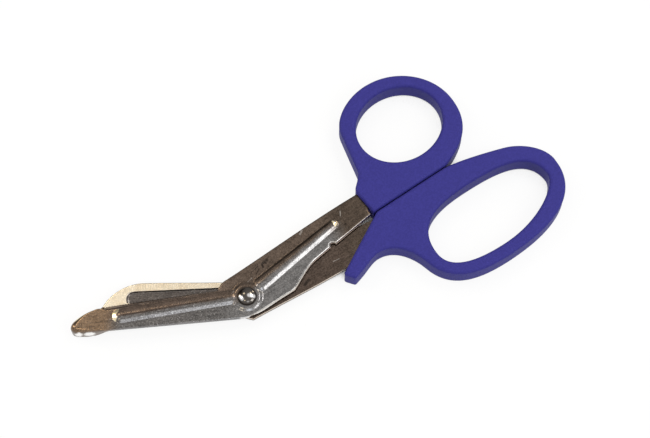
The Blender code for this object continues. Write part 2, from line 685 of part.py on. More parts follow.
def pivot_rivet(parts):
    """Rivet with a domed head on the front blade's boss and a flatter tail under the rear blade's."""
    seat = FRONT_TOP + BOSS_HEIGHT + RIVET_SEAT_GAP
    tail_seat = REAR_BOTTOM - BOSS_HEIGHT - RIVET_SEAT_GAP
    profile = [(0.0, seat + RIVET_DOME_HEIGHT)]
    for step in range(1, 8):
        angle = math.pi / 2 * step / 7
        profile.append((RIVET_HEAD_RADIUS * math.sin(angle), seat + RIVET_DOME_HEIGHT * math.cos(angle)))
    profile += [(PIN_RADIUS, seat), (PIN_RADIUS, tail_seat)]
    for step in range(5):
        angle = math.pi / 2 * step / 5
        profile.append((RIVET_TAIL_RADIUS * math.cos(angle), tail_seat - RIVET_TAIL_HEIGHT * math.sin(angle)))
    profile.append((0.0, tail_seat - RIVET_TAIL_HEIGHT))
    mesh = bpy.data.meshes.new("pivot_rivet")
    sides = [(i, i + 1) for i in range(len(profile) - 1)]
    mesh.from_pydata([(radius, 0.0, height) for radius, height in profile], sides, [])
    rivet = bpy.data.objects.new("pivot_rivet", mesh)
    parts.objects.link(rivet)
    turning = rivet.modifiers.new("turning", "SCREW")
    turning.steps = ROUND_SIDES
    turning.render_steps = ROUND_SIDES
    turning.use_merge_vertices = True
    turning.merge_threshold = 0.005 * MM
    turning.use_smooth_shade = True
    return rivet


def empty(name, parent=None):
    """Axis that parts are parented to."""
    made = bpy.data.objects.new(name, None)
    bpy.context.scene.collection.objects.link(made)
    made.parent = parent
    return made


def corners_of(part):
    """Corners of a part's box in the world, with its modifiers."""
    depsgraph = bpy.context.evaluated_depsgraph_get()
    seen = part.evaluated_get(depsgraph)
    return [seen.matrix_world @ Vector(place) for place in seen.bound_box]


def stand_over_origin(axis, parts):
    """Moves everything so that the middle of the base of the whole box is the origin."""
    bpy.context.view_layer.update()
    places = [place for part in parts for place in corners_of(part)]
    low = [min(place[i] for place in places) for i in range(3)]
    high = [max(place[i] for place in places) for i in range(3)]
    axis.location = (-(low[0] + high[0]) / 2, -(low[1] + high[1]) / 2, -low[2])
    bpy.context.view_layer.update()


def main():
    for old in list(bpy.data.objects):
        bpy.data.objects.remove(old)
    parts = collection("utility_scissors")
    tools = collection("cutters")
    steel = material("blade_steel", BLADE_STEEL, 0.35, 1.0)
    plastic = material("handle_plastic", HANDLE_PURPLE, 0.45, 0.0)
    bright = material("rivet_steel", RIVET_STEEL, 0.15, 1.0)

    front = front_blade(parts, tools)
    rear = rear_blade(parts, tools)
    rivet = pivot_rivet(parts)
    thumb = handle("thumb_handle", [thumb_outline(), thumb_hole()], front_socket(), 1,
                   FRONT_BOTTOM, FRONT_TOP, parts, tools)
    finger = handle("finger_handle", [finger_outline(), finger_hole()], rear_socket(), -1,
                    REAR_BOTTOM, REAR_TOP, parts, tools)
    for part, look in ((front, steel), (rear, steel), (rivet, bright), (thumb, plastic), (finger, plastic)):
        part.data.materials.append(look)

    pivot_axis = empty("pivot_axis")
    swing_axis = empty("swing_axis", pivot_axis)
    for part in list(parts.objects) + list(tools.objects):
        swings = part in (rear, finger) or part.name.startswith(("rear", "finger"))
        part.parent = swing_axis if swings else pivot_axis
    stand_over_origin(pivot_axis, [front, rear, rivet, thumb, finger])


main()
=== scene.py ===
# %% [markdown]
# # Utility scissors, from a CAD frame to a picture
#
# These are the bent scissors of an ambulance bag: two blades stamped from steel sheet, a rivet, and
# two moulded handles. The CAD model already gives every outline and the place of every part. This
# lesson adds what a faceted solid can't carry: softly pressed ribs, sheared and ground edges, the
# round rims of a moulding, and the finishes.
#
# Lengths are in millimetres while we think, and turn into metres when a mesh is made.

import json
import math

import bmesh
import bpy
import numpy as np
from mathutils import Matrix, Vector
from mathutils.geometry import delaunay_2d_cdt
from mathutils.kdtree import KDTree

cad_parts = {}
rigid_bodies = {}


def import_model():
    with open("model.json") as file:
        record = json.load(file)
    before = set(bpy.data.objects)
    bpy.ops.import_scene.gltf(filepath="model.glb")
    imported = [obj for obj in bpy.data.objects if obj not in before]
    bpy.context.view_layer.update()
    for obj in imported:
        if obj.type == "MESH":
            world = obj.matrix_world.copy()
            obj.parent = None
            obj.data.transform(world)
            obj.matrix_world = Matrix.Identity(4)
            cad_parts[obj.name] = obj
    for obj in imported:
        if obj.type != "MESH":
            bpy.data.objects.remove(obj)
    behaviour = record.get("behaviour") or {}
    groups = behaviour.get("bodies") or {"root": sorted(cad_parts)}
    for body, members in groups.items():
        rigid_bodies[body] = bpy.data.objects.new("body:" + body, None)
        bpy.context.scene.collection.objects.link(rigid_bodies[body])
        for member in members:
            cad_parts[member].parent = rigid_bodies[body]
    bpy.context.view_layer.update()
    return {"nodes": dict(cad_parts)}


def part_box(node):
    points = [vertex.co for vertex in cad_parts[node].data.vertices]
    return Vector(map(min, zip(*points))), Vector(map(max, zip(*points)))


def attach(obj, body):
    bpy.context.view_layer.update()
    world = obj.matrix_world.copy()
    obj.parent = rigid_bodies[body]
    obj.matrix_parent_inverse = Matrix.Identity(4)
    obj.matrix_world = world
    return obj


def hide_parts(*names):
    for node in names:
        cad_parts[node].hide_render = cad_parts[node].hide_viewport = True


for thing in list(bpy.data.objects):
    bpy.data.objects.remove(thing)
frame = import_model()
MM = 0.001


def box_mm(node):
    """Lowest and highest corner of a CAD node in millimetres."""
    return [np.array(corner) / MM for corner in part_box(node)]


PIVOT = (box_mm("pivot_rivet")[0] + box_mm("pivot_rivet")[1])[:2] / 2
print("CAD nodes:", ", ".join(sorted(frame["nodes"])))
print("pivot at", PIVOT.round(2), "mm")

# %% [markdown]
# ## The camera
#
# The photograph was taken from above with a long lens, about 22 degrees from straight down. A long
# lens keeps the two handles the same size in the picture, so the camera stands 67 cm away.


# %% Camera
def beside_rivet(x, y, z):
    """Place in metres, from millimetres in the plan from the rivet and above the table."""
    return Vector((PIVOT[0] + x, PIVOT[1] + y, z)) * MM


camera = bpy.data.objects.new("photo_camera", bpy.data.cameras.new("photo_camera"))
bpy.context.scene.collection.objects.link(camera)
camera.data.lens = 100
camera.data.sensor_width = 36
camera.data.clip_start = 0.01
camera.data.clip_end = 10
camera.location = beside_rivet(-102.26, -196.24, 625.27)
look_at = beside_rivet(42.17, 11.03, 0.0)
camera.rotation_mode = "QUATERNION"
camera.rotation_quaternion = (camera.location - look_at).to_track_quat("Z", "Y")
bpy.context.scene.camera = camera
print("camera distance", round((camera.location - look_at).length / MM), "mm")

# %% [markdown]
# ## Reading outlines off the CAD
#
# A level cut through a stamped sheet gives the outline of its tool, and a level cut through a
# moulding gives the outline of its mould. We cut the CAD solids that way instead of drawing the
# outlines again, so the picture can never disagree with the part. Where the corners of an outline
# turn gently we round the line through them, and where they turn sharply we keep them.


# %% Outlines from level cuts
MOULD_CUT = 1.5
SAME_POINT = 0.004
STRAIGHT = 0.002
WELD, ON_PLANE = 0.001 * MM, 1e-8


def level_cut(node, height):
    """Closed outlines in which a level plane cuts a CAD node, the longest first."""
    solid = bmesh.new()
    solid.from_mesh(frame["nodes"][node].data)
    bmesh.ops.remove_doubles(solid, verts=solid.verts, dist=WELD)
    everything = solid.verts[:] + solid.edges[:] + solid.faces[:]
    cut = bmesh.ops.bisect_plane(
        solid, geom=everything, plane_co=(0, 0, height * MM), plane_no=(0, 0, 1), dist=ON_PLANE
    )
    edges = {part for part in cut["geom_cut"] if isinstance(part, bmesh.types.BMEdge)}
    loops = []
    while edges:
        edge = edges.pop()
        chain = list(edge.verts)
        while True:
            following = next((other for other in chain[-1].link_edges if other in edges), None)
            if following is None:
                break
            edges.remove(following)
            chain.append(following.other_vert(chain[-1]))
        loops.append(tidy_loop(np.array([vert.co.xy for vert in chain[:-1]]) / MM))
    solid.free()
    return sorted(loops, key=lambda loop: -abs(signed_area(loop)))


def signed_area(loop):
    """Area of a closed outline, positive if it runs counterclockwise."""
    x, y = loop.T
    return 0.5 * np.sum(x * np.roll(y, -1) - np.roll(x, -1) * y)


def tidy_loop(loop):
    """The outline without points that lie on each other or on a straight line."""
    loop = loop[np.linalg.norm(loop - np.roll(loop, 1, 0), axis=1) > SAME_POINT]
    while True:
        into, out = loop - np.roll(loop, 1, 0), np.roll(loop, -1, 0) - loop
        bend = np.cross(into, out) / np.linalg.norm(into, axis=1) / np.linalg.norm(out, axis=1)
        keep = np.abs(bend) > STRAIGHT
        if keep.all():
            return loop
        loop = loop[keep]


def refined(loop, spacing, corner=26.0):
    """Points along a closed outline: a curve through its gentle bends, straight to its corners."""
    out = np.roll(loop, -1, 0) - loop
    into = np.roll(out, 1, 0)
    cosine = np.sum(into * out, 1) / np.linalg.norm(into, axis=1) / np.linalg.norm(out, axis=1)
    gentle = cosine > math.cos(math.radians(corner))
    along = into + out
    along /= np.linalg.norm(along, axis=1)[:, None]
    points = []
    for i, start in enumerate(loop):
        j = (i + 1) % len(loop)
        length = np.linalg.norm(out[i])
        leave = along[i] * length if gentle[i] else out[i]
        arrive = along[j] * length if gentle[j] else out[i]
        count = max(1, math.ceil(length / spacing))
        for t in np.arange(count) / count:
            points.append(
                start * (2 * t**3 - 3 * t**2 + 1) + leave * (t**3 - 2 * t**2 + t)
                + loop[j] * (3 * t**2 - 2 * t**3) + arrive * (t**3 - t**2)
            )
    return np.array(points)


thumb_loops = level_cut("thumb_handle", MOULD_CUT)[:2]
finger_loops = level_cut("finger_handle", MOULD_CUT)[:2]
for grip, outlines in (("thumb", thumb_loops), ("finger", finger_loops)):
    print(f"the {grip} handle and its hole have", [len(loop) for loop in outlines], "corners")

# %% [markdown]
# ## A solid from an outline
#
# Sheet metal and flat mouldings have one thing in common: seen from above, each point of the
# surface has one height. So we spread points over the outline, join them into triangles, and lift
# them by a height rule. A second layer makes the underside and a band of quads closes the rim.
#
# The points stand in rows along the rim, each at a chosen depth from it, because that is where the
# height changes fastest. Inside, they stand like a honeycomb if the surface has any relief.


# %% How deep a point lies inside an outline
BATCH = 1500


def depth_inside(points, loops):
    """Distance of each point from the nearest outline."""
    starts = np.concatenate(loops)
    sides = np.concatenate([np.roll(loop, -1, 0) - loop for loop in loops])
    squared = np.sum(sides * sides, 1)
    depths = np.empty(len(points))
    for first in range(0, len(points), BATCH):
        gap = points[first:first + BATCH, None, :] - starts[None]
        share = np.clip(np.sum(gap * sides, 2) / squared, 0, 1)
        gap -= share[..., None] * sides
        depths[first:first + BATCH] = np.sqrt(np.sum(gap * gap, 2).min(1))
    return depths


def inside(points, loops):
    """True for the points that lie within the first outline and in none of its holes."""
    starts = np.concatenate(loops)
    ends = np.concatenate([np.roll(loop, -1, 0) for loop in loops])
    odd = np.zeros(len(points), bool)
    for (x0, y0), (x1, y1) in zip(starts, ends):
        if y0 == y1:
            continue
        between = (points[:, 1] < y0) != (points[:, 1] < y1)
        odd ^= between & (points[:, 0] < x0 + (points[:, 1] - y0) * (x1 - x0) / (y1 - y0))
    return odd


middle = thumb_loops[0].mean(0)[None]
print("is the middle of the thumb handle plastic?", bool(inside(middle, thumb_loops)[0]))


# %% Rows of points behind the rim, and triangles between them
CROWDED = 0.97
OFF_ROWS, OFF_EXTRA, OFF_RIM = 0.5, 0.55, 0.05
JOINED = 1e-5


def rows_along(loops, depths):
    """Points at each depth behind the rim, leaving out those that a corner would crowd."""
    rows = []
    for loop in loops:
        ahead = np.roll(loop, -1, 0) - np.roll(loop, 1, 0)
        inward = np.stack([-ahead[:, 1], ahead[:, 0]], 1) / np.linalg.norm(ahead, axis=1)[:, None]
        for depth in depths:
            row = loop + inward * depth
            rows.append(row[depth_inside(row, loops) > CROWDED * depth])
    return np.concatenate(rows)


def honeycomb(loops, spacing):
    """Evenly spread points over the box of the outlines."""
    low, high = loops[0].min(0), loops[0].max(0)
    xs = np.arange(low[0], high[0], spacing)
    ys = np.arange(low[1], high[1], spacing * math.sqrt(0.75))
    x, y = np.meshgrid(xs, ys)
    x[1::2] += spacing / 2
    return np.stack([x.ravel(), y.ravel()], 1)


def far_from(points, others, gap):
    """True for the points that keep a gap to all others."""
    tree = KDTree(len(others))
    for i, (x, y) in enumerate(others):
        tree.insert((x, y, 0), i)
    tree.balance()
    return np.array([tree.find((x, y, 0))[2] > gap for x, y in points])


def triangles_over(loops, depths, spacing=None, extra=None):
    """Plan points, triangles, the rim's point numbers, and the outlines turned the same way."""
    loops = [
        loop if (signed_area(loop) > 0) == (i == 0) else loop[::-1]
        for i, loop in enumerate(loops)
    ]
    rim = np.concatenate(loops)
    fill = [rows_along(loops, depths)]
    if spacing:
        comb = honeycomb(loops, spacing)
        comb = comb[inside(comb, loops)]
        comb = comb[depth_inside(comb, loops) > depths[-1] + OFF_ROWS * spacing]
        if extra is not None:
            comb = comb[far_from(comb, extra, OFF_EXTRA * spacing)]
        fill.append(comb)
    if extra is not None:
        extra = extra[inside(extra, loops)]
        fill.append(extra[depth_inside(extra, loops) > OFF_RIM])
    points = np.concatenate([rim, *fill])
    edges = []
    first = 0
    for loop in loops:
        edges += [(first + i, first + (i + 1) % len(loop)) for i in range(len(loop))]
        first += len(loop)
    found = delaunay_2d_cdt([Vector(p) for p in points], edges, [], 0, JOINED)
    places = np.array(found[0])
    faces = np.array([face for face in found[2] if len(face) == 3])
    faces = faces[inside(places[faces].mean(1), loops)]
    came_from = {old: new for new, olds in enumerate(found[3]) for old in olds}
    rims = []
    first = 0
    for loop in loops:
        ring = [came_from[first + i] for i in range(len(loop))]
        rims.append([n for i, n in enumerate(ring) if n != ring[i - 1]])
        first += len(loop)
    return places, faces, rims, loops


bare = triangles_over(thumb_loops, [1.0])
print(len(bare[1]), "triangles cover the thumb handle with one row behind its rim")

# %% [markdown]
# The wall between the two faces gets rows of its own, because neither a moulding nor a sheared
# sheet has a plain upright wall.


# %% A closed solid
CREASE = 38


def solid_from(name, loops, top, bottom, depths, wall, spacing=None, extra=None):
    """Closed solid over the outlines. top and bottom give heights from the plan and the depth, and
    wall lists how far up the rim each row stands and how far it bulges outwards."""
    places, faces, rims, loops = triangles_over(loops, depths, spacing, extra)
    depth = depth_inside(places, loops)
    on_rim = np.zeros(len(places), bool)
    for ring in rims:
        on_rim[ring] = True
    depth[on_rim] = 0.0
    upper = np.column_stack([places, top(places, depth)])
    lower = np.column_stack([places, bottom(places, depth)])
    used = np.unique(faces)
    number = np.full(len(places), -1)
    number[used] = np.arange(len(used))
    verts = [upper[used], lower[used]]
    polygons = [tuple(face) for face in number[faces]]
    polygons += [tuple(face[::-1] + len(used)) for face in number[faces]]
    count = 2 * len(used)
    for ring in rims:
        ring = np.array([n for n in ring if number[n] >= 0])
        ahead = np.roll(places[ring], -1, 0) - np.roll(places[ring], 1, 0)
        outward = np.stack([ahead[:, 1], -ahead[:, 0]], 1) / np.linalg.norm(ahead, axis=1)[:, None]
        rows = [number[ring] + len(used)]
        for share, bulge in wall[1:-1]:
            row = lower[ring] * (1 - share) + upper[ring] * share
            row[:, :2] += outward * bulge
            verts.append(row)
            rows.append(np.arange(count, count + len(ring)))
            count += len(ring)
        rows.append(number[ring])
        for low, high in zip(rows, rows[1:]):
            quads = np.stack([low, np.roll(low, -1), np.roll(high, -1), high], 1)
            polygons += [tuple(quad) for quad in quads]
    mesh = bpy.data.meshes.new(name)
    corners = (np.concatenate(verts) * MM).tolist()
    mesh.from_pydata(corners, [], [tuple(map(int, polygon)) for polygon in polygons])
    mesh.polygons.foreach_set("use_smooth", [True] * len(mesh.polygons))
    mesh.set_sharp_from_angle(angle=math.radians(CREASE))
    made = bpy.data.objects.new(name, mesh)
    bpy.context.scene.collection.objects.link(made)
    print(name, "has", sum(len(polygon) - 2 for polygon in polygons), "triangles")
    return made


print("edges that bend by over", CREASE, "degrees stay sharp")

# %% [markdown]
# ## The two handles
#
# A moulded handle is a slab with round rims. Thick plastic shrinks as it cools, so its walls sink
# in by a few hundredths of a millimetre. A Bevel modifier could round the rims, but it folds over
# itself where an outline turns tighter than the rounding. Our rows leave out the points that such a
# turn would crowd, so the height rule rounds them: six rows for the rounding, one more behind them,
# and none on the rest of the flat faces.

# %% Moulded handles
HANDLE_HEIGHT = box_mm("thumb_handle")[1][2]
RIM_ROUND = 1.3
RIM_ROWS = [RIM_ROUND * (1 - math.cos(math.radians(a))) for a in (15, 30, 45, 60, 75, 90)]
RIM_ROWS.append(RIM_ROUND + 0.5)
GRIP_SPACING = 0.6
HANDLE_WALL = ((0.0, 0.0), (0.25, -0.03), (0.5, -0.04), (0.75, -0.03), (1.0, 0.0))


def handle_top(places, depth):
    """Flat face that rolls over at the rim in a quarter circle."""
    sunk = np.clip(RIM_ROUND - depth, 0, RIM_ROUND)
    return HANDLE_HEIGHT - RIM_ROUND + np.sqrt(RIM_ROUND**2 - sunk**2)


def handle_bottom(places, depth):
    """The same face on the other side."""
    return HANDLE_HEIGHT - handle_top(places, depth)


def moulded(name, loops):
    """Handle over its outline and its hole."""
    loops = [refined(loop, GRIP_SPACING) for loop in loops]
    return solid_from(name, loops, handle_top, handle_bottom, RIM_ROWS, HANDLE_WALL)


thumb_grip = moulded("thumb_grip", thumb_loops)
finger_grip = moulded("finger_grip", finger_loops)

# %% [markdown]
# ## Jaw coordinates and pressed forms
#
# The jaws are bent 30 degrees away from the shanks, so it is easier to describe them along their
# own line: u towards the tip and v across. Both blades are stiffened by forms that a press pushes
# out of the sheet: a bead along the jaw, a boss round the rivet and, on the front blade, a rib
# along the shank. Rib and bead are tapering ridges with a round back, so their height only depends
# on how far a point is from the spine. The front blade's forms stand up, and the rear blade's
# stand down.

# %% Heights of pressed forms
JAW_BEND = math.radians(30)
JAW_ALONG = np.array([-math.cos(JAW_BEND), math.sin(JAW_BEND)])
JAW_ACROSS = np.array([math.sin(JAW_BEND), math.cos(JAW_BEND)])
FORM_SPACING = 0.35


def jaw(u, v):
    """Plan point from jaw coordinates."""
    return PIVOT + JAW_ALONG * u + JAW_ACROSS * v


def in_jaw(places):
    """Jaw coordinates of plan points."""
    return (places - PIVOT) @ JAW_ALONG, (places - PIVOT) @ JAW_ACROSS


def share_of_reach(places, start, end, start_radius, end_radius):
    """0 on the spine of a tapering form and 1 at its edge."""
    line = np.array(end) - np.array(start)
    t = np.clip((places - start) @ line / (line @ line), 0, 1)
    away = np.linalg.norm(places - start - t[:, None] * line, axis=1)
    return away / (start_radius + (end_radius - start_radius) * t)


def rows_of_form(start, end, start_radius, end_radius, shares):
    """Points round a tapering form at several shares of its radius, to keep its sides crisp."""
    line = np.array(end) - np.array(start)
    side = np.array([-line[1], line[0]]) / np.linalg.norm(line)
    heading = math.atan2(line[1], line[0])
    rows = []
    for share in shares:
        t = np.linspace(0, 1, math.ceil(np.linalg.norm(line) / FORM_SPACING))[:, None]
        radius = share * (start_radius + (end_radius - start_radius) * t)
        rows += [start + line * t + side * radius, start + line * t - side * radius]
        ends = ((start, share * start_radius, math.pi), (end, share * end_radius, 0.0))
        for place, radius, turn in ends:
            count = max(3, math.ceil(math.pi * radius / FORM_SPACING))
            angles = heading + turn + np.linspace(-math.pi / 2, math.pi / 2, count)[1:-1]
            rows.append(place + radius * np.stack([np.cos(angles), np.sin(angles)], 1))
    return np.concatenate(rows)


def soft_step(value, low, high):
    """0 below low, 1 above high, and a smooth rise between them."""
    t = np.clip((value - low) / (high - low), 0, 1)
    return t * t * (3 - 2 * t)


def ridge(share, height):
    """Height of a ridge with a round back, steepest at its foot."""
    return height * np.clip(1 - share**2, 0, 1)


print("the jaws run along", JAW_ALONG.round(3))

# %% [markdown]
# ## The front blade
#
# Its upper face shows everything a press and a grinder do: the ridges, the ground bevel behind the
# teeth, the edge that shearing pulls down, and the safety foot at the tip. The foot is the end of
# the jaw turned down nearly to the table, so that it slides over skin without digging in. Solids
# joined by Booleans would leave a hard seam wherever two forms meet. As heights they add up, or the
# higher one wins, and the sheet stays in one piece.

# %% The front blade's forms
SHEET = 2.0
FRONT_LOW = 4.65
FRONT_HIGH = FRONT_LOW + SHEET
FORM_HEIGHT = 0.9
BOSS_HEIGHT = 0.6
BOSS_TOP, BOSS_FOOT = 4.3, 6.1


def shank_point(degrees, reach):
    """Plan point at a heading from the rivet and a distance."""
    angle = math.radians(degrees)
    return PIVOT + reach * np.array([math.cos(angle), math.sin(angle)])


FRONT_RIB = (shank_point(10, 7.0), shank_point(7.3, 42.0), 2.8, 1.9)
BEAD_END = (46.3, -3.45)
FRONT_BEAD = (jaw(6.0, 0.4), jaw(*BEAD_END), 2.9, 2.8)


def boss_height(places):
    """Soft swelling round the rivet."""
    away = np.linalg.norm(places - PIVOT, axis=1)
    return BOSS_HEIGHT * (1 - soft_step(away, BOSS_TOP, BOSS_FOOT))


def front_forms(places):
    """Rib, bead and boss of the front blade, as heights over its sheet."""
    rib = ridge(share_of_reach(places, *FRONT_RIB), FORM_HEIGHT)
    bead = ridge(share_of_reach(places, *FRONT_BEAD), FORM_HEIGHT)
    return np.maximum(np.maximum(rib, bead), boss_height(places))


print("forms at the rivet and at the bead's end:", front_forms(np.array([PIVOT, FRONT_BEAD[1]])))

# %% [markdown]
# Shearing pulls the upper rim of the sheet down and leaves the lower one round. The grinder takes a
# bevel off behind the teeth, narrow at the root of the jaw and wider at its tip. Bending curls the
# foot's rim down in a growing radius.


# %% The front blade's upper face
JAW_ROOT, JAW_TIP = 10.6, 52.1
EDGE_ROOT, EDGE_TIP = 3.9, 0.9
EDGE_LAND = 0.6
BEVEL_WIDTH, BEVEL_GAIN = 0.7, 1.0
INNER_DROP, INNER_WIDTH = 0.36, 0.9
FOOT_START, FOOT_END = 51.2, JAW_TIP + 12.4
FOOT_RIM, FOOT_CURL, TIP_CURL = 0.25, 0.75, 1.1


def rolled_edge(depth, drop=0.16, width=0.4):
    """How far shearing pulls the upper rim of the sheet down."""
    return drop * np.clip(1 - depth / width, 0, 1) ** 2


def inner_shank(places):
    """1 along the inner side of the front blade's shank, where the rim is pulled down most."""
    x, y = (places - PIVOT).T
    return soft_step(x, -6.0, 2.0) * (y < 0.12 * x - 3.0)


def turned_down(places, depth):
    """How far the foot's rim curls down, growing along the jaw from where the foot starts."""
    u, v = in_jaw(places)
    curled = soft_step(u, FOOT_START - 0.5, FOOT_START + 5) * soft_step(-v, 1.0, 5.5)
    radius = FOOT_RIM + FOOT_CURL * curled
    radius += TIP_CURL * soft_step(u, FOOT_END - 8.0, FOOT_END - 1.0)
    sunk = np.clip(radius - depth, 0, radius)
    return (radius - np.sqrt(radius**2 - sunk**2)) * (u > FOOT_START - 0.5)


def cutting_edge(u):
    """Jaw coordinate v of the front blade's cutting edge. The rear blade's is its mirror image."""
    return EDGE_ROOT + (EDGE_TIP - EDGE_ROOT) * (u - JAW_ROOT) / (JAW_TIP - JAW_ROOT)


def front_top(places, depth):
    """Sheet, forms, rims, bevel and foot together."""
    u, v = in_jaw(places)
    height = FRONT_HIGH + front_forms(places) - rolled_edge(depth)
    height -= inner_shank(places) * rolled_edge(depth, INNER_DROP, INNER_WIDTH)
    width = BEVEL_WIDTH + BEVEL_GAIN * np.clip((u - JAW_ROOT) / (JAW_TIP - JAW_ROOT), 0, 1)
    behind = np.clip(cutting_edge(u) - v, 0, None)
    bevel = FRONT_LOW + EDGE_LAND + behind / width * (SHEET - EDGE_LAND)
    along_edge = (u > JAW_ROOT - 0.3) & (u < JAW_TIP + 0.2)
    height = np.where(along_edge, np.minimum(height, bevel), height)
    return height - turned_down(places, depth)


heel = jaw(FOOT_START - 3, -4.0)[None]
print("the sheet lies at", front_top(heel, np.array([9.0])).round(2), "mm in front of the foot")

# %% [markdown]
# Underneath, the forms are hollow outside the boss. The foot's wall ends in shallow scallops, as a
# bent sheet does, and points on both sides of its inner face keep that face upright.


# %% The front blade's lower face
FORM_SHARE = 0.85
HOLLOW_START, HOLLOW_FULL = 6.5, 9.5
FOOT_WALL, FOOT_LIFT, FOOT_RAMP = 1.9, 0.6, 4.5
SCALLOP, SCALLOP_LENGTH = 0.25, 5.5
SPINE_V = -8.3


def lower_rim(depth, rise=0.4, width=0.55):
    """How far the lower rim of the sheet stands up where the shearing tool left it round."""
    return rise * np.clip(1 - depth / width, 0, 1) ** 2


def in_foot_wall(places):
    """True on the foot's wall, along the spine and round the tip."""
    u, v = in_jaw(places)
    return (u > FOOT_START) & ((v < SPINE_V + FOOT_WALL) | (u > FOOT_END - FOOT_WALL))


def front_bottom(places, depth):
    """Sheet and hollows, or the end of the foot's wall."""
    u, v = in_jaw(places)
    away = np.linalg.norm(places - PIVOT, axis=1)
    hollows = FORM_SHARE * front_forms(places) * soft_step(away, HOLLOW_START, HOLLOW_FULL)
    flat = FRONT_LOW + hollows + lower_rim(depth)
    wave = 1 - np.cos(2 * math.pi * (u - FOOT_END) / SCALLOP_LENGTH)
    scallop = FOOT_LIFT + SCALLOP * wave * (u < FOOT_END - 1)
    grown = np.clip((u - FOOT_START - 0.3) / FOOT_RAMP, 0, 1)
    wall_end = FRONT_LOW + (scallop - FRONT_LOW) * grown
    return np.where(in_foot_wall(places), wall_end, flat)


def jaw_points(u, v):
    """Plan points from arrays of jaw coordinates."""
    return PIVOT + u[:, None] * JAW_ALONG + v[:, None] * JAW_ACROSS


def foot_wall_rows():
    """Points on both sides of the foot wall's inner face, so that it stands upright."""
    u = np.arange(FOOT_START, FOOT_END - FOOT_WALL, FORM_SPACING)
    v = np.arange(SPINE_V + FOOT_WALL, 1.0, FORM_SPACING)
    rows = []
    for shift in (-0.03, 0.03):
        rows.append(jaw_points(u, np.full(len(u), SPINE_V + FOOT_WALL + shift)))
        rows.append(jaw_points(np.full(len(v), FOOT_END - FOOT_WALL + shift), v))
    return np.concatenate(rows)


print(len(foot_wall_rows()), "points follow the foot's wall")

# %% [markdown]
# The mesh needs its points closest at the rim and along the crests and the feet of the forms. The
# level cut also meets the hollows and the hole that anchors the tang. We only keep the outline and
# the rivet's hole, because the height rules make the hollows and the handle hides the tang.


# %% The front blade
def round_hole(loops):
    """The outline and the rivet hole of a blade, without the hollows and the anchor hole."""
    centres = [np.linalg.norm(loop.mean(0) - PIVOT) for loop in loops[1:]]
    return [loops[0], loops[1 + int(np.argmin(centres))]]


SHEET_ROWS = [0.06, 0.14, 0.26, 0.4, 0.7, 1.05, 1.45]
SHEARED_WALL = ((0.0, 0.0), (0.38, -0.02), (0.44, 0.03), (1.0, 0.0))
SHEET_CUT, RIM_SPACING, FACE_SPACING = 0.3, 0.4, 0.42
FRONT_FORM_ROWS = np.concatenate([
    rows_of_form(*form, shares)
    for form in (FRONT_RIB, FRONT_BEAD)
    for shares in ([0.0, 0.97], [0.2, 0.4, 0.6, 0.8, 1.03])
])
front_loops = round_hole(level_cut("front_blade", FRONT_LOW + SHEET_CUT))
front_sheet = solid_from(
    "front_blade_sheet", [refined(loop, RIM_SPACING) for loop in front_loops],
    front_top, front_bottom, SHEET_ROWS, SHEARED_WALL, FACE_SPACING,
    extra=np.concatenate([foot_wall_rows(), FRONT_FORM_ROWS]),
)

# %% [markdown]
# ## The rear blade
#
# It is the same work seen from the other side: its bead is pushed down, so from above the jaw shows
# a hollow. Only the flat land round that hollow meets the other blade, and it is ground bright.

# %% Rear blade
REAR_HIGH = 4.35
REAR_LOW = REAR_HIGH - SHEET
REAR_SPINE = (jaw(9.0, 2.0), jaw(40.9, 3.3))
REAR_BEAD = (*REAR_SPINE, 3.7, 3.6)
REAR_HOLLOW = (*REAR_SPINE, 3.2, 3.1)
HOLLOW_DEPTH, HOLLOW_FLOOR = 0.6, 0.84
REAR_BEVEL = 1.5


def rear_forms(places):
    """Bead and boss of the rear blade, as depths under its sheet."""
    bead = ridge(share_of_reach(places, *REAR_BEAD), FORM_HEIGHT)
    return np.maximum(bead, boss_height(places))


def rear_top(places, depth):
    """Flat land with the bead's hollow in it."""
    away = np.linalg.norm(places - PIVOT, axis=1)
    share = share_of_reach(places, *REAR_HOLLOW)
    hollow = HOLLOW_DEPTH * (1 - soft_step(share, HOLLOW_FLOOR, 1.0))
    hollow *= soft_step(away, HOLLOW_START, HOLLOW_FULL)
    return REAR_HIGH - hollow - rolled_edge(depth, 0.05, 0.2)


def rear_bottom(places, depth):
    """Sheet and forms, with a bevel along the cutting edge."""
    u, v = in_jaw(places)
    behind = np.clip(v + cutting_edge(u), 0, None)
    bevel = REAR_HIGH - EDGE_LAND - behind / REAR_BEVEL * (SHEET - EDGE_LAND)
    low = REAR_LOW - rear_forms(places) + rolled_edge(depth)
    return np.where((u > JAW_ROOT) & (u < JAW_TIP + 1), np.maximum(low, bevel), low)


rear_loops = round_hole(level_cut("rear_blade", REAR_HIGH - SHEET_CUT))
rear_sheet = solid_from(
    "rear_blade_sheet", [refined(loop, RIM_SPACING) for loop in rear_loops],
    rear_top, rear_bottom, SHEET_ROWS, SHEARED_WALL, FACE_SPACING,
    extra=rows_of_form(*REAR_HOLLOW, [HOLLOW_FLOOR, 0.88, 0.92, 0.96, 1.0, 1.04]),
)

# %% [markdown]
# ## The rivet
#
# The rivet has a polished dome above, a plain pin through both sheets and a flatter tail that was
# formed when it was closed. A half ball, a cylinder and a disc would show the same, but their faces
# would cross inside. One profile, spun round the axis as on a lathe, gives one closed skin.

# %% Rivet
RIVET_SIDES, RIVET_CREASE = 96, 40
PIN_RADIUS, TAIL_RADIUS, TAIL_FLAT = 2.2, 3.3, 0.6
SEAT_GAP = 0.05
rivet_low, rivet_high = box_mm("pivot_rivet")
HEAD_RADIUS = (rivet_high - rivet_low)[0] / 2
HEAD_SEAT = FRONT_HIGH + BOSS_HEIGHT + SEAT_GAP
TAIL_SEAT = REAR_LOW - BOSS_HEIGHT - SEAT_GAP


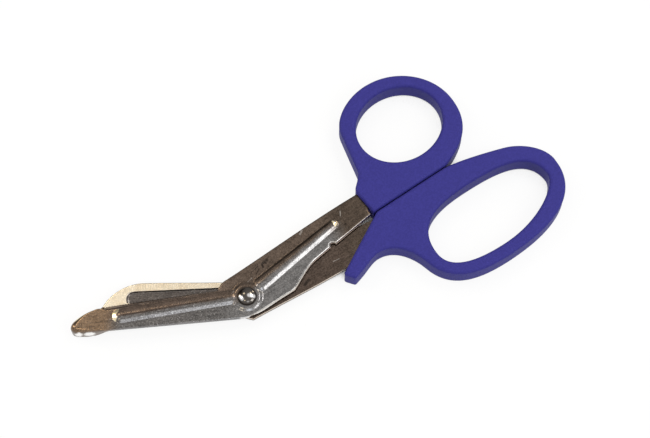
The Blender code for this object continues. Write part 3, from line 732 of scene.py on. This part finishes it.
def arc(radius, seat, reach, flat):
    """Profile of a domed end from its middle to its seat, with a small flat in the middle."""
    turns = [math.radians(a) for a in range(0, 91, 6)]
    return [(flat + (radius - flat) * math.sin(a), seat + reach * math.cos(a)) for a in turns]


head = arc(HEAD_RADIUS, HEAD_SEAT, rivet_high[2] - HEAD_SEAT, 0.0)
tail = arc(TAIL_RADIUS, TAIL_SEAT, rivet_low[2] - TAIL_SEAT, TAIL_FLAT)
pin = [(PIN_RADIUS, HEAD_SEAT), (PIN_RADIUS, TAIL_SEAT)]
profile = head + pin + tail[::-1] + [(0.0, rivet_low[2])]
lathe = bmesh.new()
chain = [lathe.verts.new((radius * MM, 0, height * MM)) for radius, height in profile]
for one, other in zip(chain, chain[1:]):
    lathe.edges.new((one, other))
bmesh.ops.spin(
    lathe, geom=lathe.verts[:] + lathe.edges[:], cent=(0, 0, 0), axis=(0, 0, 1),
    angle=2 * math.pi, steps=RIVET_SIDES, use_merge=True,
)
bmesh.ops.remove_doubles(lathe, verts=lathe.verts, dist=0.0005 * MM)
bmesh.ops.recalc_face_normals(lathe, faces=lathe.faces)
bmesh.ops.translate(lathe, verts=lathe.verts, vec=(PIVOT[0] * MM, PIVOT[1] * MM, 0))
rivet_mesh = bpy.data.meshes.new("rivet")
lathe.to_mesh(rivet_mesh)
lathe.free()
rivet_mesh.polygons.foreach_set("use_smooth", [True] * len(rivet_mesh.polygons))
rivet_mesh.set_sharp_from_angle(angle=math.radians(RIVET_CREASE))
rivet = bpy.data.objects.new("rivet", rivet_mesh)
bpy.context.scene.collection.objects.link(rivet)
print("rivet head", round(2 * HEAD_RADIUS, 2), "mm across")

# %% [markdown]
# ## Writing shaders like sums
#
# A finish is mostly arithmetic on noise, so we wrap a shader socket in a small class that knows
# plus, minus and times. Each sum adds a Math node, or a Vector Math node if it starts with a
# vector.


# %% Sockets that add and multiply
class Wire:
    """An output of a shader node that Python's own operators can combine."""

    def __init__(self, tree, socket):
        self.tree = tree
        self.socket = socket

    def node(self, kind, settings=None, inputs=None, output=0):
        """Adds a node: its settings first, then its input values or wires. Gives one output."""
        made = self.tree.nodes.new(kind)
        for name, value in (settings or {}).items():
            setattr(made, name, value)
        for name, value in (inputs or {}).items():
            if isinstance(value, Wire):
                self.tree.links.new(value.socket, made.inputs[name])
            else:
                made.inputs[name].default_value = value
        return Wire(self.tree, made.outputs[output])

    def join(self, operation, *others):
        """Math or Vector Math node with this wire first."""
        kind = "ShaderNodeMath"
        if self.socket.type == "VECTOR":
            kind = "ShaderNodeVectorMath"
            others = [o if isinstance(o, (Wire, tuple)) else (o, o, o) for o in others]
        return self.node(kind, {"operation": operation}, dict(enumerate([self, *others])))

    def __add__(self, other):
        return self.join("ADD", other)

    def __sub__(self, other):
        return self.join("SUBTRACT", other)

    def __rsub__(self, other):
        return (self * -1.0).join("ADD", other)

    def __mul__(self, other):
        return self.join("MULTIPLY", other)

    __radd__ = __add__
    __rmul__ = __mul__

    def bigger(self, other):
        """The bigger of this value and another."""
        return self.join("MAXIMUM", other)

    def between(self, low, high):
        """0 below low, 1 above high, smooth between."""
        return self.node(
            "ShaderNodeMapRange", {"interpolation_type": "SMOOTHSTEP"},
            {"Value": self, "From Min": low, "From Max": high},
        )

    def noise(self, scale, detail=2.0, roughness=0.5, stretch=None):
        """Noise over this place, with a scale in features per millimetre."""
        place = self * stretch if stretch else self
        inputs = {"Vector": place, "Scale": scale, "Detail": detail, "Roughness": roughness}
        return self.node("ShaderNodeTexNoise", {}, inputs)

    def mix(self, first, second):
        """Colour between two colours, with this wire as the factor."""
        return self.node(
            "ShaderNodeMix", {"data_type": "RGBA"}, {0: self, 6: first, 7: second}, output=2
        )

    def along(self, direction):
        """Coordinate of this place along a direction, in the plan if it has only x and y."""
        inputs = {0: self, 1: (*direction, 0.0)[:3]}
        return self.node("ShaderNodeVectorMath", {"operation": "DOT_PRODUCT"}, inputs, output=1)

    def length(self):
        """Length of a vector wire."""
        return self.node("ShaderNodeVectorMath", {"operation": "LENGTH"}, {0: self}, output=1)

    def from_point(self, point):
        """Distance in the plan from a point, in millimetres."""
        return (self * (1.0, 1.0, 0.0) - (*map(float, point), 0.0)).length()

    def from_line(self, start, end):
        """Distance in the plan from a straight scratch between two points, in millimetres."""
        line = np.array(end, float) - np.array(start, float)
        gap = self * (1.0, 1.0, 0.0) - (*map(float, start), 0.0)
        share = gap.along(line / (line @ line)).limited()
        inputs = {0: (*line, 0.0), 3: share}
        return (gap - self.node("ShaderNodeVectorMath", {"operation": "SCALE"}, inputs)).length()

    def limited(self):
        """The same value kept between 0 and 1."""
        return self.node("ShaderNodeClamp", {}, {0: self})

    def times(self, tint):
        """This value as a grey that darkens a colour wire."""
        return self.node("ShaderNodeMix", {"data_type": "RGBA", "blend_type": "MULTIPLY"},
                         {0: 1.0, 6: tint, 7: self}, output=2)


def colour(red, green, blue):
    """Linear colour from the 0 to 255 values that a picture shows."""
    shares = [value / 255 for value in (red, green, blue)]
    linear = [((s + 0.055) / 1.055) ** 2.4 if s > 0.04 else s / 12.92 for s in shares]
    return (*linear, 1.0)


def finish(name):
    """New material: gives it, its Principled shader and the place on the object in millimetres."""
    print("finish:", name)
    made = bpy.data.materials.new(name)
    made.use_nodes = True
    tree = made.node_tree
    shader = tree.nodes["Principled BSDF"]
    place = tree.nodes.new("ShaderNodeTexCoord")
    return made, shader, Wire(tree, place.outputs["Object"]) * (1 / MM)


def feed(shader, **inputs):
    """Sets or links inputs of the Principled shader. Underscores stand for spaces."""
    for name, value in inputs.items():
        socket = shader.inputs[name.replace("_", " ")]
        if isinstance(value, Wire):
            value.tree.links.new(value.socket, socket)
        else:
            socket.default_value = value


def bump(height, depth_mm):
    """Normal from a height wire whose 0 to 1 is so many millimetres."""
    inputs = {"Strength": 1.0, "Distance": depth_mm * MM, "Height": height}
    return height.node("ShaderNodeBump", {}, inputs)


print("a mid grey of 128 reflects", round(colour(128, 128, 128)[0], 3), "of the light")

# %% [markdown]
# ## Finishes
#
# ** Tumbled steel.** Stamped blades are tumbled with small stones to take the burrs off. That leaves
# a skin of fine dents without direction. On the front blade the slopes beyond the crests of the
# ribs are brown, which is painted shade, and the slopes in front of them grey, which is painted
# light. The sheet is browner near the handle and most of all at the foot. Marks of use lie on top:
# a dark hook-shaped stain, a pit and a few scratches, and beside them one painted highlight at the
# end of the rear jaw's hollow. We place those by their distance from short lines, in millimetres
# from the rivet.


# %% Patterns of tumbled steel
UP = (0.0, 0.0, 1.0)
GREY, JAW_GREY = colour(117, 115, 114), colour(104, 101, 99)
HANDLE_BROWN, FOOT_BROWN = colour(84, 73, 64), colour(128, 107, 87)
# The dark colour serves stains and painted shade; the scratch colour scratches and a painted
# highlight.
DARK_STAIN_AND_SHADE, SCRATCH_AND_GLINT, SPECK = colour(48, 42, 38), colour(200, 194, 188), colour(224, 221, 218)
# Painted highlights: golden on the ends of the forms and on the foot's rim, white on the shank's
# rim.
GOLD_GLINT, RIM_HIGHLIGHT = colour(255, 238, 198), colour(232, 226, 216)


def steel_place(place):
    """Place from the rivet, and jaw coordinates u and v."""
    at = place - (*map(float, PIVOT), 0.0)
    return at, at.along(JAW_ALONG), at.along(JAW_ACROSS)


def mottled(at, u, v):
    """Fine dents, spots and rolling streaks of a sheet, as a shade round 1 and a height."""
    fine = at.noise(1.9, 3.0, 0.7).between(0.3, 0.7)
    coarse = at.noise(0.3, 2.0, 0.6).between(0.3, 0.7)
    jaw_streaks = u.node("ShaderNodeCombineXYZ", {}, {0: u * 0.06, 1: v * 1.5}).noise(1.0) - 0.5
    shank_streaks = (at * (0.06, 1.5, 0.0)).noise(1.0) - 0.5
    on_jaw = u.between(1.0, 5.0)
    streaks = on_jaw * jaw_streaks + (1.0 - on_jaw) * shank_streaks
    return fine * 0.7 + coarse * 0.25 + streaks * 0.8 + 0.5, fine * 0.4 + coarse


def stains(at, lines):
    """1 on short dark lines with ragged sides and 0 elsewhere. Each has two ends and a width."""
    ragged = at.noise(1.4, 2.0, 0.6) * 0.5 - 0.25
    total = None
    for start, end, width in lines:
        mark = 1.0 - (at.from_line(start, end) + ragged).between(width * 0.35, width)
        total = mark if total is None else total.bigger(mark)
    return total


def glinting_ends(at, u, v):
    """1 on the end slopes of the front blade's rib and bead, which get a painted golden highlight.
    """
    (bead_u, bead_v), (rib_x, rib_y) = BEAD_END, FRONT_RIB[1] - PIVOT
    from_bead = at.from_point(FRONT_BEAD[1] - PIVOT)
    bead = from_bead.between(1.3, 1.7) * (1.0 - from_bead.between(2.5, 2.9))
    bead = bead * (u + v * 0.3 - bead_v * 0.3).between(bead_u + 0.7, bead_u + 1.5)
    from_rib = at.from_line((rib_x, rib_y), (rib_x + 0.6, rib_y + 0.05))
    beyond = at.along((1.0, 0.0)).between(rib_x + 0.1, rib_x + 0.5)
    return bead.bigger((1.0 - from_rib.between(0.9, 1.5)) * beyond)


def rims(tint, place, at, u, v, brown):
    """The tint with painted shade round the rivet, darker where the rim sinks on the brown side,
    and with painted highlights on the pulled-down rim of the shank's inner side and of the foot."""
    sunk = FRONT_HIGH - place.along(UP)
    # Painted shade: a dark ring round the rivet's head.
    seam_shade = (1.0 - at.from_point((0.0, 0.0)).between(HEAD_RADIUS + 0.1, HEAD_RADIUS + 0.5)) * 0.65
    # Darker where the rim sinks a little, on the brown side.
    sunk_rim_dark = sunk.between(0.01, 0.15) * (1.0 - sunk.between(0.25, 0.35)) * brown * 0.7
    # Painted highlights on the pulled-down rim: white along the shank, golden at the foot.
    highlit_rim = sunk.between(0.07, 0.35) * (1.0 - sunk.between(0.95, 1.15)) * 0.8
    tint = seam_shade.bigger(sunk_rim_dark).mix(tint, DARK_STAIN_AND_SHADE)
    tint = (highlit_rim * (1.0 - u.between(2.0, 4.0))).mix(tint, RIM_HIGHLIGHT)
    tip = u.between(FOOT_START + 4, FOOT_START + 7) * v.between(-4.5, -3.0)
    return (highlit_rim * tip).mix(tint, GOLD_GLINT)


# The dark ring round the rivet's head is painted shade.
print("dirt lies up to", round(HEAD_RADIUS + 0.5, 2), "mm from the rivet's axis")

# %% [markdown]
# The patterns come together in one recipe for both blades. It takes where the sheet is brown, how
# brown it is on the shank and on the jaw, and its stains and scratches as lists of lines.


# %% Tumbled steel
def blade_finish(name, brown_side, browns, dark_lines, scratch_and_glint_lines, crest=None):
    """Tumbled steel. brown_side gives a wire that is 1 where the sheet is brown, from the place."""
    made, shader, place = finish(name)
    at, u, v = steel_place(place)
    shade, height = mottled(at, u, v)
    brown = brown_side(at, u, v)
    foot = u.between(46.0, 53.0)
    on_jaw = u.between(2.0, 12.0)
    near_handle = at.along((1.0, 0.0)).between(36.0, 46.0)
    # On the front blade, brown beyond the crests is painted shade and grey in front of them painted
    # light.
    tint = brown.mix(on_jaw.mix(GREY, JAW_GREY), on_jaw.mix(*browns))
    tint = foot.mix(near_handle.mix(tint, HANDLE_BROWN), FOOT_BROWN)
    tint = (stains(at, dark_lines) * 0.85).mix(tint, DARK_STAIN_AND_SHADE)
    # Bright scratches, and on the rear blade one painted highlight.
    tint = (stains(at, scratch_and_glint_lines) * 0.4).mix(tint, SCRATCH_AND_GLINT)
    # Darker along the bead's crest.
    if crest:
        tint = ((1.0 - at.from_line(*crest).between(0.1, 0.5)) * 0.6).mix(tint, DARK_STAIN_AND_SHADE)
    speckled = u.between(-2.0, 6.0) * 0.25 + 0.2
    specks = at.noise(2.2, 2.0, 0.7).between(0.6, 0.7) * speckled * (1.0 - brown.bigger(foot) * 0.8)
    tint = specks.mix(shade.times(tint), SPECK)
    # Painted golden highlight on the end slopes of the rib and bead.
    tint = glinting_ends(at, u, v).mix(tint, GOLD_GLINT)
    tint = rims(tint, place, at, u, v, brown)
    rough = at.noise(0.9, 2.0, 0.5) * 0.12 + 0.15
    feed(shader, Base_Color=tint, Metallic=1.0, Roughness=rough, Normal=bump(height, 0.004))
    return made


def front_shaded_brown(at, u, v):
    """Brown beyond the crests of the rib and bead, which is painted shade, and all over near the
    handle.
    """
    wander = at.noise(0.22, 3.0, 0.6) * 2.0 - 1.0
    on_jaw = u.between(1.0, 7.0)
    jaw_side = (v + u * 0.0955 - 0.6 + wander * 0.5).between(-0.6, 0.4)
    shank_side = (at.along((-0.115, 1.0)) - 0.4 + wander).between(-1.0, 1.2)
    shank_side = shank_side.bigger((at.along((1.0, -0.5)) + wander * 2.0).between(41.0, 47.0))
    return on_jaw * jaw_side + (1.0 - on_jaw) * shank_side


def rear_brown(at, u, v):
    """Brown on the shank, greyer inside the jaw's hollow."""
    return 1.0 - u.between(4.0, 10.0) * 0.5


FRONT_DARK = [
    ((11.2, 6.3), (11.6, 7.4), 0.6), ((11.6, 7.4), (12.6, 7.7), 0.65),
    ((12.6, 7.7), (14.0, 7.7), 0.55), ((12.4, 7.6), (12.9, 6.9), 0.45),
    ((45.4, 2.9), (45.9, 3.1), 0.4), ((7.6, 5.4), (9.6, 6.4), 0.3), ((6.2, 6.8), (9.9, 7.6), 0.18),
]
FRONT_BRIGHT = [
    ((29.6, 9.2), (31.0, 9.9), 0.5), ((46.0, 6.6), (47.0, 8.2), 0.3),
    ((-4.0, 3.9), (-2.6, 4.7), 0.16), ((3.2, 4.6), (5.4, 5.0), 0.16),
]
REAR_DARK = [((20.3, -7.6), (21.6, -7.0), 0.8), ((21.6, -7.0), (22.6, -6.8), 0.7)]
# The second rear line is a painted highlight at the round end of the hollow.
REAR_BRIGHT = [((34.0, -6.0), (36.5, -6.3), 0.25), ((-36.5, 23.2), (-35.9, 24.2), 0.5)]
BEAD_CREST = (jaw(9.0, 0.0) - PIVOT, jaw(45.0, -3.5) - PIVOT)
# The front browns colour the painted shade beyond the crests, GREY and JAW_GREY the painted light.
FRONT_SHADED_BROWNS = colour(98, 85, 75), colour(111, 96, 85)
REAR_BROWNS = colour(86, 74, 66), colour(84, 73, 65)
front_steel = blade_finish(
    "tumbled_steel_front", front_shaded_brown, FRONT_SHADED_BROWNS, FRONT_DARK, FRONT_BRIGHT, BEAD_CREST
)
rear_steel = blade_finish("tumbled_steel_rear", rear_brown, REAR_BROWNS, REAR_DARK, REAR_BRIGHT)

# %% [markdown]
# **Sheared edges.** A punch first polishes the edge of the sheet and then tears it, so the upper
# part of each wall is bright and the lower part is dull and rough. The border between them lies at
# one height in each sheet, so the height above the table decides, with a little noise to fray it.

# %% Sheared edge
BURNISHED, WARM_BURNISHED, TORN = colour(244, 242, 240), colour(206, 188, 168), colour(96, 86, 78)
TORN_FRONT, TORN_REAR = (5.0, 5.2), (3.2, 3.4)
sheared, shader, place = finish("sheared_edge")
height = place.along(UP)
torn = place.noise(1.2, 2.0, 0.6, stretch=(1.0, 1.0, 3.0))
on_front = height.between(REAR_HIGH + 0.1, FRONT_LOW - 0.1)
wave = height + torn * 0.12
polished_front, polished_rear = wave.between(*TORN_FRONT), wave.between(*TORN_REAR)
dull = on_front * (1.0 - polished_front) + (1.0 - on_front) * (1.0 - polished_rear)
bright = on_front.mix(WARM_BURNISHED, BURNISHED)
feed(shader, Base_Color=dull.mix(bright, TORN), Metallic=1.0, Roughness=dull * 0.3 + 0.2,
     Normal=bump(torn * dull, 0.01))

# %% [markdown]
# ** Foot wall.** The foot's turned-down wall slides over skin and table tops. It gets two painted
# highlights between the folds that bending left. Each is an oval round its middle, and coarse noise
# eats into its border.

# %% Painted highlights on the foot wall
SPOTS = ((62.4, 1.35), (58.5, 2.0))
SPOT_HEIGHT, SPOT_REACH = 3.2, 2.3
foot_glints, shader, place = finish("foot_wall_highlight")
at, u, v = steel_place(place)
height = place.along(UP)
ragged = place.noise(0.5, 3.0, 0.6) * 2.0 - 1.0
upward = (height - SPOT_HEIGHT) * (1.0 / SPOT_REACH)
# Painted highlights on the foot's wall.
highlight_spots = 0.0
for middle, half in SPOTS:
    across = (u + height * 0.2 - middle) * (1.0 / half)
    highlight_spots = (1.0 - (across * across + upward * upward + ragged).between(0.3, 1.6)) + highlight_spots
highlight_spots = highlight_spots.limited() * height.between(0.9, 1.8)
feed(shader, Base_Color=highlight_spots.mix(colour(114, 100, 88), colour(252, 250, 247)), Metallic=1.0,
     Roughness=0.25, Normal=bump(highlight_spots + place.noise(1.2) * 0.3, 0.12))

# %% [markdown]
# ** Ground steel.** The flat land of a jaw is ground across, which leaves fine lines that way. Its
# warm yellow tint is a painted reflection of warm light. Noise that changes quickly along the jaw
# and slowly across it looks like such lines.

# %% Ground steel
ground, shader, place = finish("ground_steel")
turn = place.node("ShaderNodeVectorRotate", {"rotation_type": "Z_AXIS"},
                  {"Vector": place, "Angle": JAW_BEND})
lines = turn.noise(1.0, 3.0, 0.6, stretch=(5.0, 0.3, 1.0))
tone = place.noise(0.3, 2.0, 0.5) * 0.5 + lines * 0.5
# Ground tone, with a painted warm reflection in its yellow tint.
ground_tone_and_warm_reflection = tone.between(0.3, 0.7).mix(colour(218, 201, 174), colour(233, 222, 201))
feed(shader, Base_Color=ground_tone_and_warm_reflection, Metallic=1.0, Roughness=lines * 0.1 + 0.2, Normal=bump(lines, 0.004))

# %% [markdown]
# ** Polished steel** for the rivet's head. Its polish is dull and hazy. A painted dark reflection
# darkens it towards the jaws, painted shade darkens its rim, and two painted white reflections
# are as bright as new steel. Lamps alone could draw those, but then they would wander over the
# dome when the view changes.

# %% Polished steel
# Painted colours: dark reflection, shade at the dome's rim and white reflection.
DARK_REFLECTION, DOME_RIM_SHADE, REFLECTED_WHITE = colour(44, 38, 34), colour(46, 40, 36), colour(222, 221, 220)
polished, shader, place = finish("polished_steel")
haze = place.noise(3.0, 3.0, 0.6)
at = place - (*map(float, PIVOT), 0.0)
# Painted shade round the rim of the dome.
rivet_shade = at.from_point((0.0, 0.0)).between(HEAD_RADIUS - 0.7, HEAD_RADIUS)
# Painted dark reflection towards the jaws, with a dark spot on the upper left.
dark_reflection = at.along((-0.5, 0.8)).between(0.8, 3.2) * 0.85
dark_reflection = dark_reflection.bigger(1.0 - at.from_line((-1.5, 2.5), (-1.3, 2.5)).between(0.6, 1.3))
tint = dark_reflection.mix(haze.mix(colour(76, 72, 68), colour(96, 92, 88)), DARK_REFLECTION)
# Two painted white reflections, as bright as new steel.
reflection_right = 1.0 - at.from_line((0.6, -0.5), (1.8, -1.7)).between(0.35, 1.0)
reflection_left = 1.0 - at.from_line((-2.4, 0.9), (-2.2, -0.2)).between(0.3, 0.85)
tint = reflection_right.bigger(reflection_left).mix(tint, REFLECTED_WHITE)
feed(shader, Base_Color=rivet_shade.mix(tint, DOME_RIM_SHADE), Metallic=1.0, Roughness=haze * 0.06 + 0.04,
     Normal=bump(haze, 0.001))

# %% [markdown]
# **Moulded plastic.** The handle's mould is etched, which leaves a fine even grain, so the plastic
# looks matt. Fine noise in the bump and the roughness gives the grain, and a low specular level
# keeps the pale sky from washing the purple out.

# %% Plastic
plastic, shader, place = finish("purple_plastic")
cloud = place.noise(0.08, 2.0, 0.5) * 0.3 + place.noise(1.6, 2.0, 0.6).between(0.3, 0.7) * 0.7
etch = place.noise(4.0, 2.0, 0.6)
feed(shader, Base_Color=cloud.mix(colour(44, 42, 107), colour(51, 49, 121)), Metallic=0.0,
     Specular_IOR_Level=0.06, Roughness=etch * 0.12 + 0.42, Normal=bump(etch, 0.012))

# %% [markdown]
# Each face of a blade gets its finish by where it lies: the land round the rear blade's hollow is
# ground, and so is the inner face of the front jaw. Walls are sheared. All other steel is tumbled.
# Separate pieces for each finish would need seams, and one mesh with several materials has none.


# %% Faces and finishes
UPRIGHT, UPRIGHT_FOOT, LEVEL = 0.3, 0.45, 0.985
LAND_START, LAND_SLACK = 7.0, 0.12


def paint(thing, *finishes):
    """Gives a mesh its materials."""
    for made in finishes:
        thing.data.materials.append(made)


def paint_blade(sheet, tumbled, side, level):
    """Finishes of a blade whose inner face lies at a level. side is 1 if that face looks up."""
    paint(sheet, tumbled, sheared, ground, foot_glints)
    count = len(sheet.data.polygons)
    centres, normals = np.empty(3 * count), np.empty(3 * count)
    sheet.data.polygons.foreach_get("center", centres)
    sheet.data.polygons.foreach_get("normal", normals)
    centres, up = centres.reshape(-1, 3) / MM, normals.reshape(-1, 3)[:, 2]
    u, v = in_jaw(centres[:, :2])
    walls = (np.abs(up) < UPRIGHT) & ((u < 3) | (v > -6)) & (u < FOOT_START - 1)
    land = (side * up > LEVEL) & (np.abs(centres[:, 2] - level) < LAND_SLACK) & (u > LAND_START)
    foot_wall = (np.abs(up) < UPRIGHT_FOOT) & (side < 0) & (u > FOOT_START + 1) & (v < -4)
    numbers = walls * 1 + land * 2 + foot_wall * 3
    sheet.data.polygons.foreach_set("material_index", numbers.astype(np.int32))
    print(sheet.name, "has", int(walls.sum()), "sheared and", int(land.sum()), "ground faces")


paint_blade(rear_sheet, rear_steel, 1, REAR_HIGH)
paint_blade(front_sheet, front_steel, -1, FRONT_LOW)
paint(rivet, polished)
paint(thumb_grip, plastic)
paint(finger_grip, plastic)

# %% [markdown]
# ## Putting the pieces on the frame
#
# Each piece rides on the CAD body that moves it and stands for the CAD node of the same part.

# %% Riding on the frame
for piece, body, node, slot in (
    (front_sheet, "thumb_half", "front_blade", "blade_steel"),
    (rear_sheet, "finger_half", "rear_blade", "blade_steel"),
    (rivet, "thumb_half", "pivot_rivet", "rivet_steel"),
    (thumb_grip, "thumb_half", "thumb_handle", "handle_plastic"),
    (finger_grip, "finger_half", "finger_handle", "handle_plastic"),
):
    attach(piece, body)
    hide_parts(node)
    print(piece.name, "rides on", body)

# %% [markdown]
# ## Studio
#
# The photograph has a white ground, an even soft light and a few brighter lamps that the polished
# parts pick up. The camera and the metal see the floor mostly as plain white paper, which keeps the
# shadows faint, but not where the paper is shut in, as in the narrow gap between the shanks.

# %% Floor
FLOOR_HALF, FLOOR_GAP = 3.0, 0.0002
WHITE_SHARE = 0.88
floor_mesh = bpy.data.meshes.new("floor")
square = [(x * FLOOR_HALF, y * FLOOR_HALF, 0) for x, y in ((-1, -1), (1, -1), (1, 1), (-1, 1))]
floor_mesh.from_pydata(square, [], [(0, 1, 2, 3)])
floor = bpy.data.objects.new("floor", floor_mesh)
bpy.context.scene.collection.objects.link(floor)
floor.location.z = -FLOOR_GAP
white, shader, place = finish("white_paper")
paper = place.noise(0.02, 2.0, 0.5).mix((0.7, 0.7, 0.7, 1), (0.72, 0.72, 0.72, 1))
sky_seen = place.node("ShaderNodeAmbientOcclusion", {"samples": 8}, {"Distance": 0.03}, output=1)
open_air = sky_seen.between(0.1, 0.3)
# Where the paper is shut in, its colour turns dark as painted shade.
feed(shader, Base_Color=open_air.mix((0.1, 0.09, 0.08, 1), paper), Roughness=0.9)
seen, mirrored, through = (
    place.node("ShaderNodeLightPath", output=f"Is {kind} Ray")
    for kind in ("Camera", "Glossy", "Transmission")
)
glow = place.node("ShaderNodeEmission", {}, {"Color": (1, 1, 1, 1), "Strength": 1.0})
share = (seen + mirrored + through).limited() * WHITE_SHARE * open_air
lit_paper = Wire(place.tree, shader.outputs[0])
blend = place.node("ShaderNodeMixShader", {}, {0: share, 1: lit_paper, 2: glow})
place.tree.links.new(blend.socket, place.tree.nodes["Material Output"].inputs["Surface"])
paint(floor, white)
print("the floor is", 2 * FLOOR_HALF, "m wide")

# %% [markdown]
# A pale sky gives the even light. It is dark low down on the far side, as the far end of a room
# would be, so that slopes that face away from us stand out.

# %% Sky
SKY_LOW, SKY_GAIN, FAR_SHADE = 0.6, 0.34, 0.85
world = bpy.data.worlds.new("studio_sky")
bpy.context.scene.world = world
world.use_nodes = True
backdrop = world.node_tree.nodes["Background"]
sky = Wire(world.node_tree, world.node_tree.nodes.new("ShaderNodeTexCoord").outputs["Generated"])
front_light = sky.along((0.1, -0.75, 0.65)).between(-0.5, 0.7)
far_side = sky.along((0.0, 1.0, 0.0)).between(0.87, 0.96)
level = (front_light * SKY_GAIN + SKY_LOW) * (1.0 - far_side * FAR_SHADE)
world.node_tree.links.new(level.socket, backdrop.inputs["Strength"])
backdrop.inputs["Color"].default_value = (1.0, 0.99, 0.98, 1)
print("the sky is at most", round(SKY_LOW + SKY_GAIN, 2), "times as bright as white paper")

# %% [markdown]
# Each lamp has its own job. The strip draws the rib's white band, the cool fill the bead's stripe,
# and the two windows light the rivet's dome beside its painted reflections. Small warm lamps give
# the golden glints on the rivet, and at the ends of the pressed forms they add to painted golden
# highlights.


# %% Lamps
def lamp(name, direction, width, height, brightness, tint=(1, 1, 1)):
    """Area lamp a metre from the scissors, whose face is so many times as bright as white paper."""
    data = bpy.data.lights.new(name, "AREA")
    data.shape = "RECTANGLE"
    data.size = width
    data.size_y = height
    data.energy = brightness * math.pi * width * height
    data.color = tint
    made = bpy.data.objects.new(name, data)
    bpy.context.scene.collection.objects.link(made)
    made.location = Vector(direction).normalized()
    made.rotation_mode = "QUATERNION"
    made.rotation_quaternion = Vector(direction).to_track_quat("Z", "Y")
    print(name, "gives", round(data.energy, 2), "W")


WARM = (1.0, 0.88, 0.66)
lamp("strip", (0.33, -0.6, 0.73), 0.36, 0.5, 5.6, (0.96, 0.98, 1.0))
lamp("window_right", (0.489, 0.008, 0.872), 0.24, 0.2, 8.0)
lamp("window_left", (-0.461, 0.433, 0.773), 0.2, 0.2, 8.0)
lamp("cool_fill", (-0.22, -0.45, 0.865), 0.3, 0.3, 2.7, (0.84, 0.91, 1.0))
lamp("warm_right", (0.85, 0.3, 0.43), 0.18, 0.18, 12.0, WARM)
lamp("warm_left", (-0.5, 0.71, 0.48), 0.3, 0.3, 7.0, WARM)
lamp("bulb_left", (-0.016, 0.562, 0.825), 0.16, 0.16, 7.0, WARM)
lamp("bulb_right", (0.527, 0.273, 0.805), 0.16, 0.16, 7.0, WARM)
lamp("bulb_low", (-0.419, -0.075, 0.904), 0.13, 0.13, 8.0, WARM)

# %% View transform
bpy.context.scene.view_settings.view_transform = "Standard"
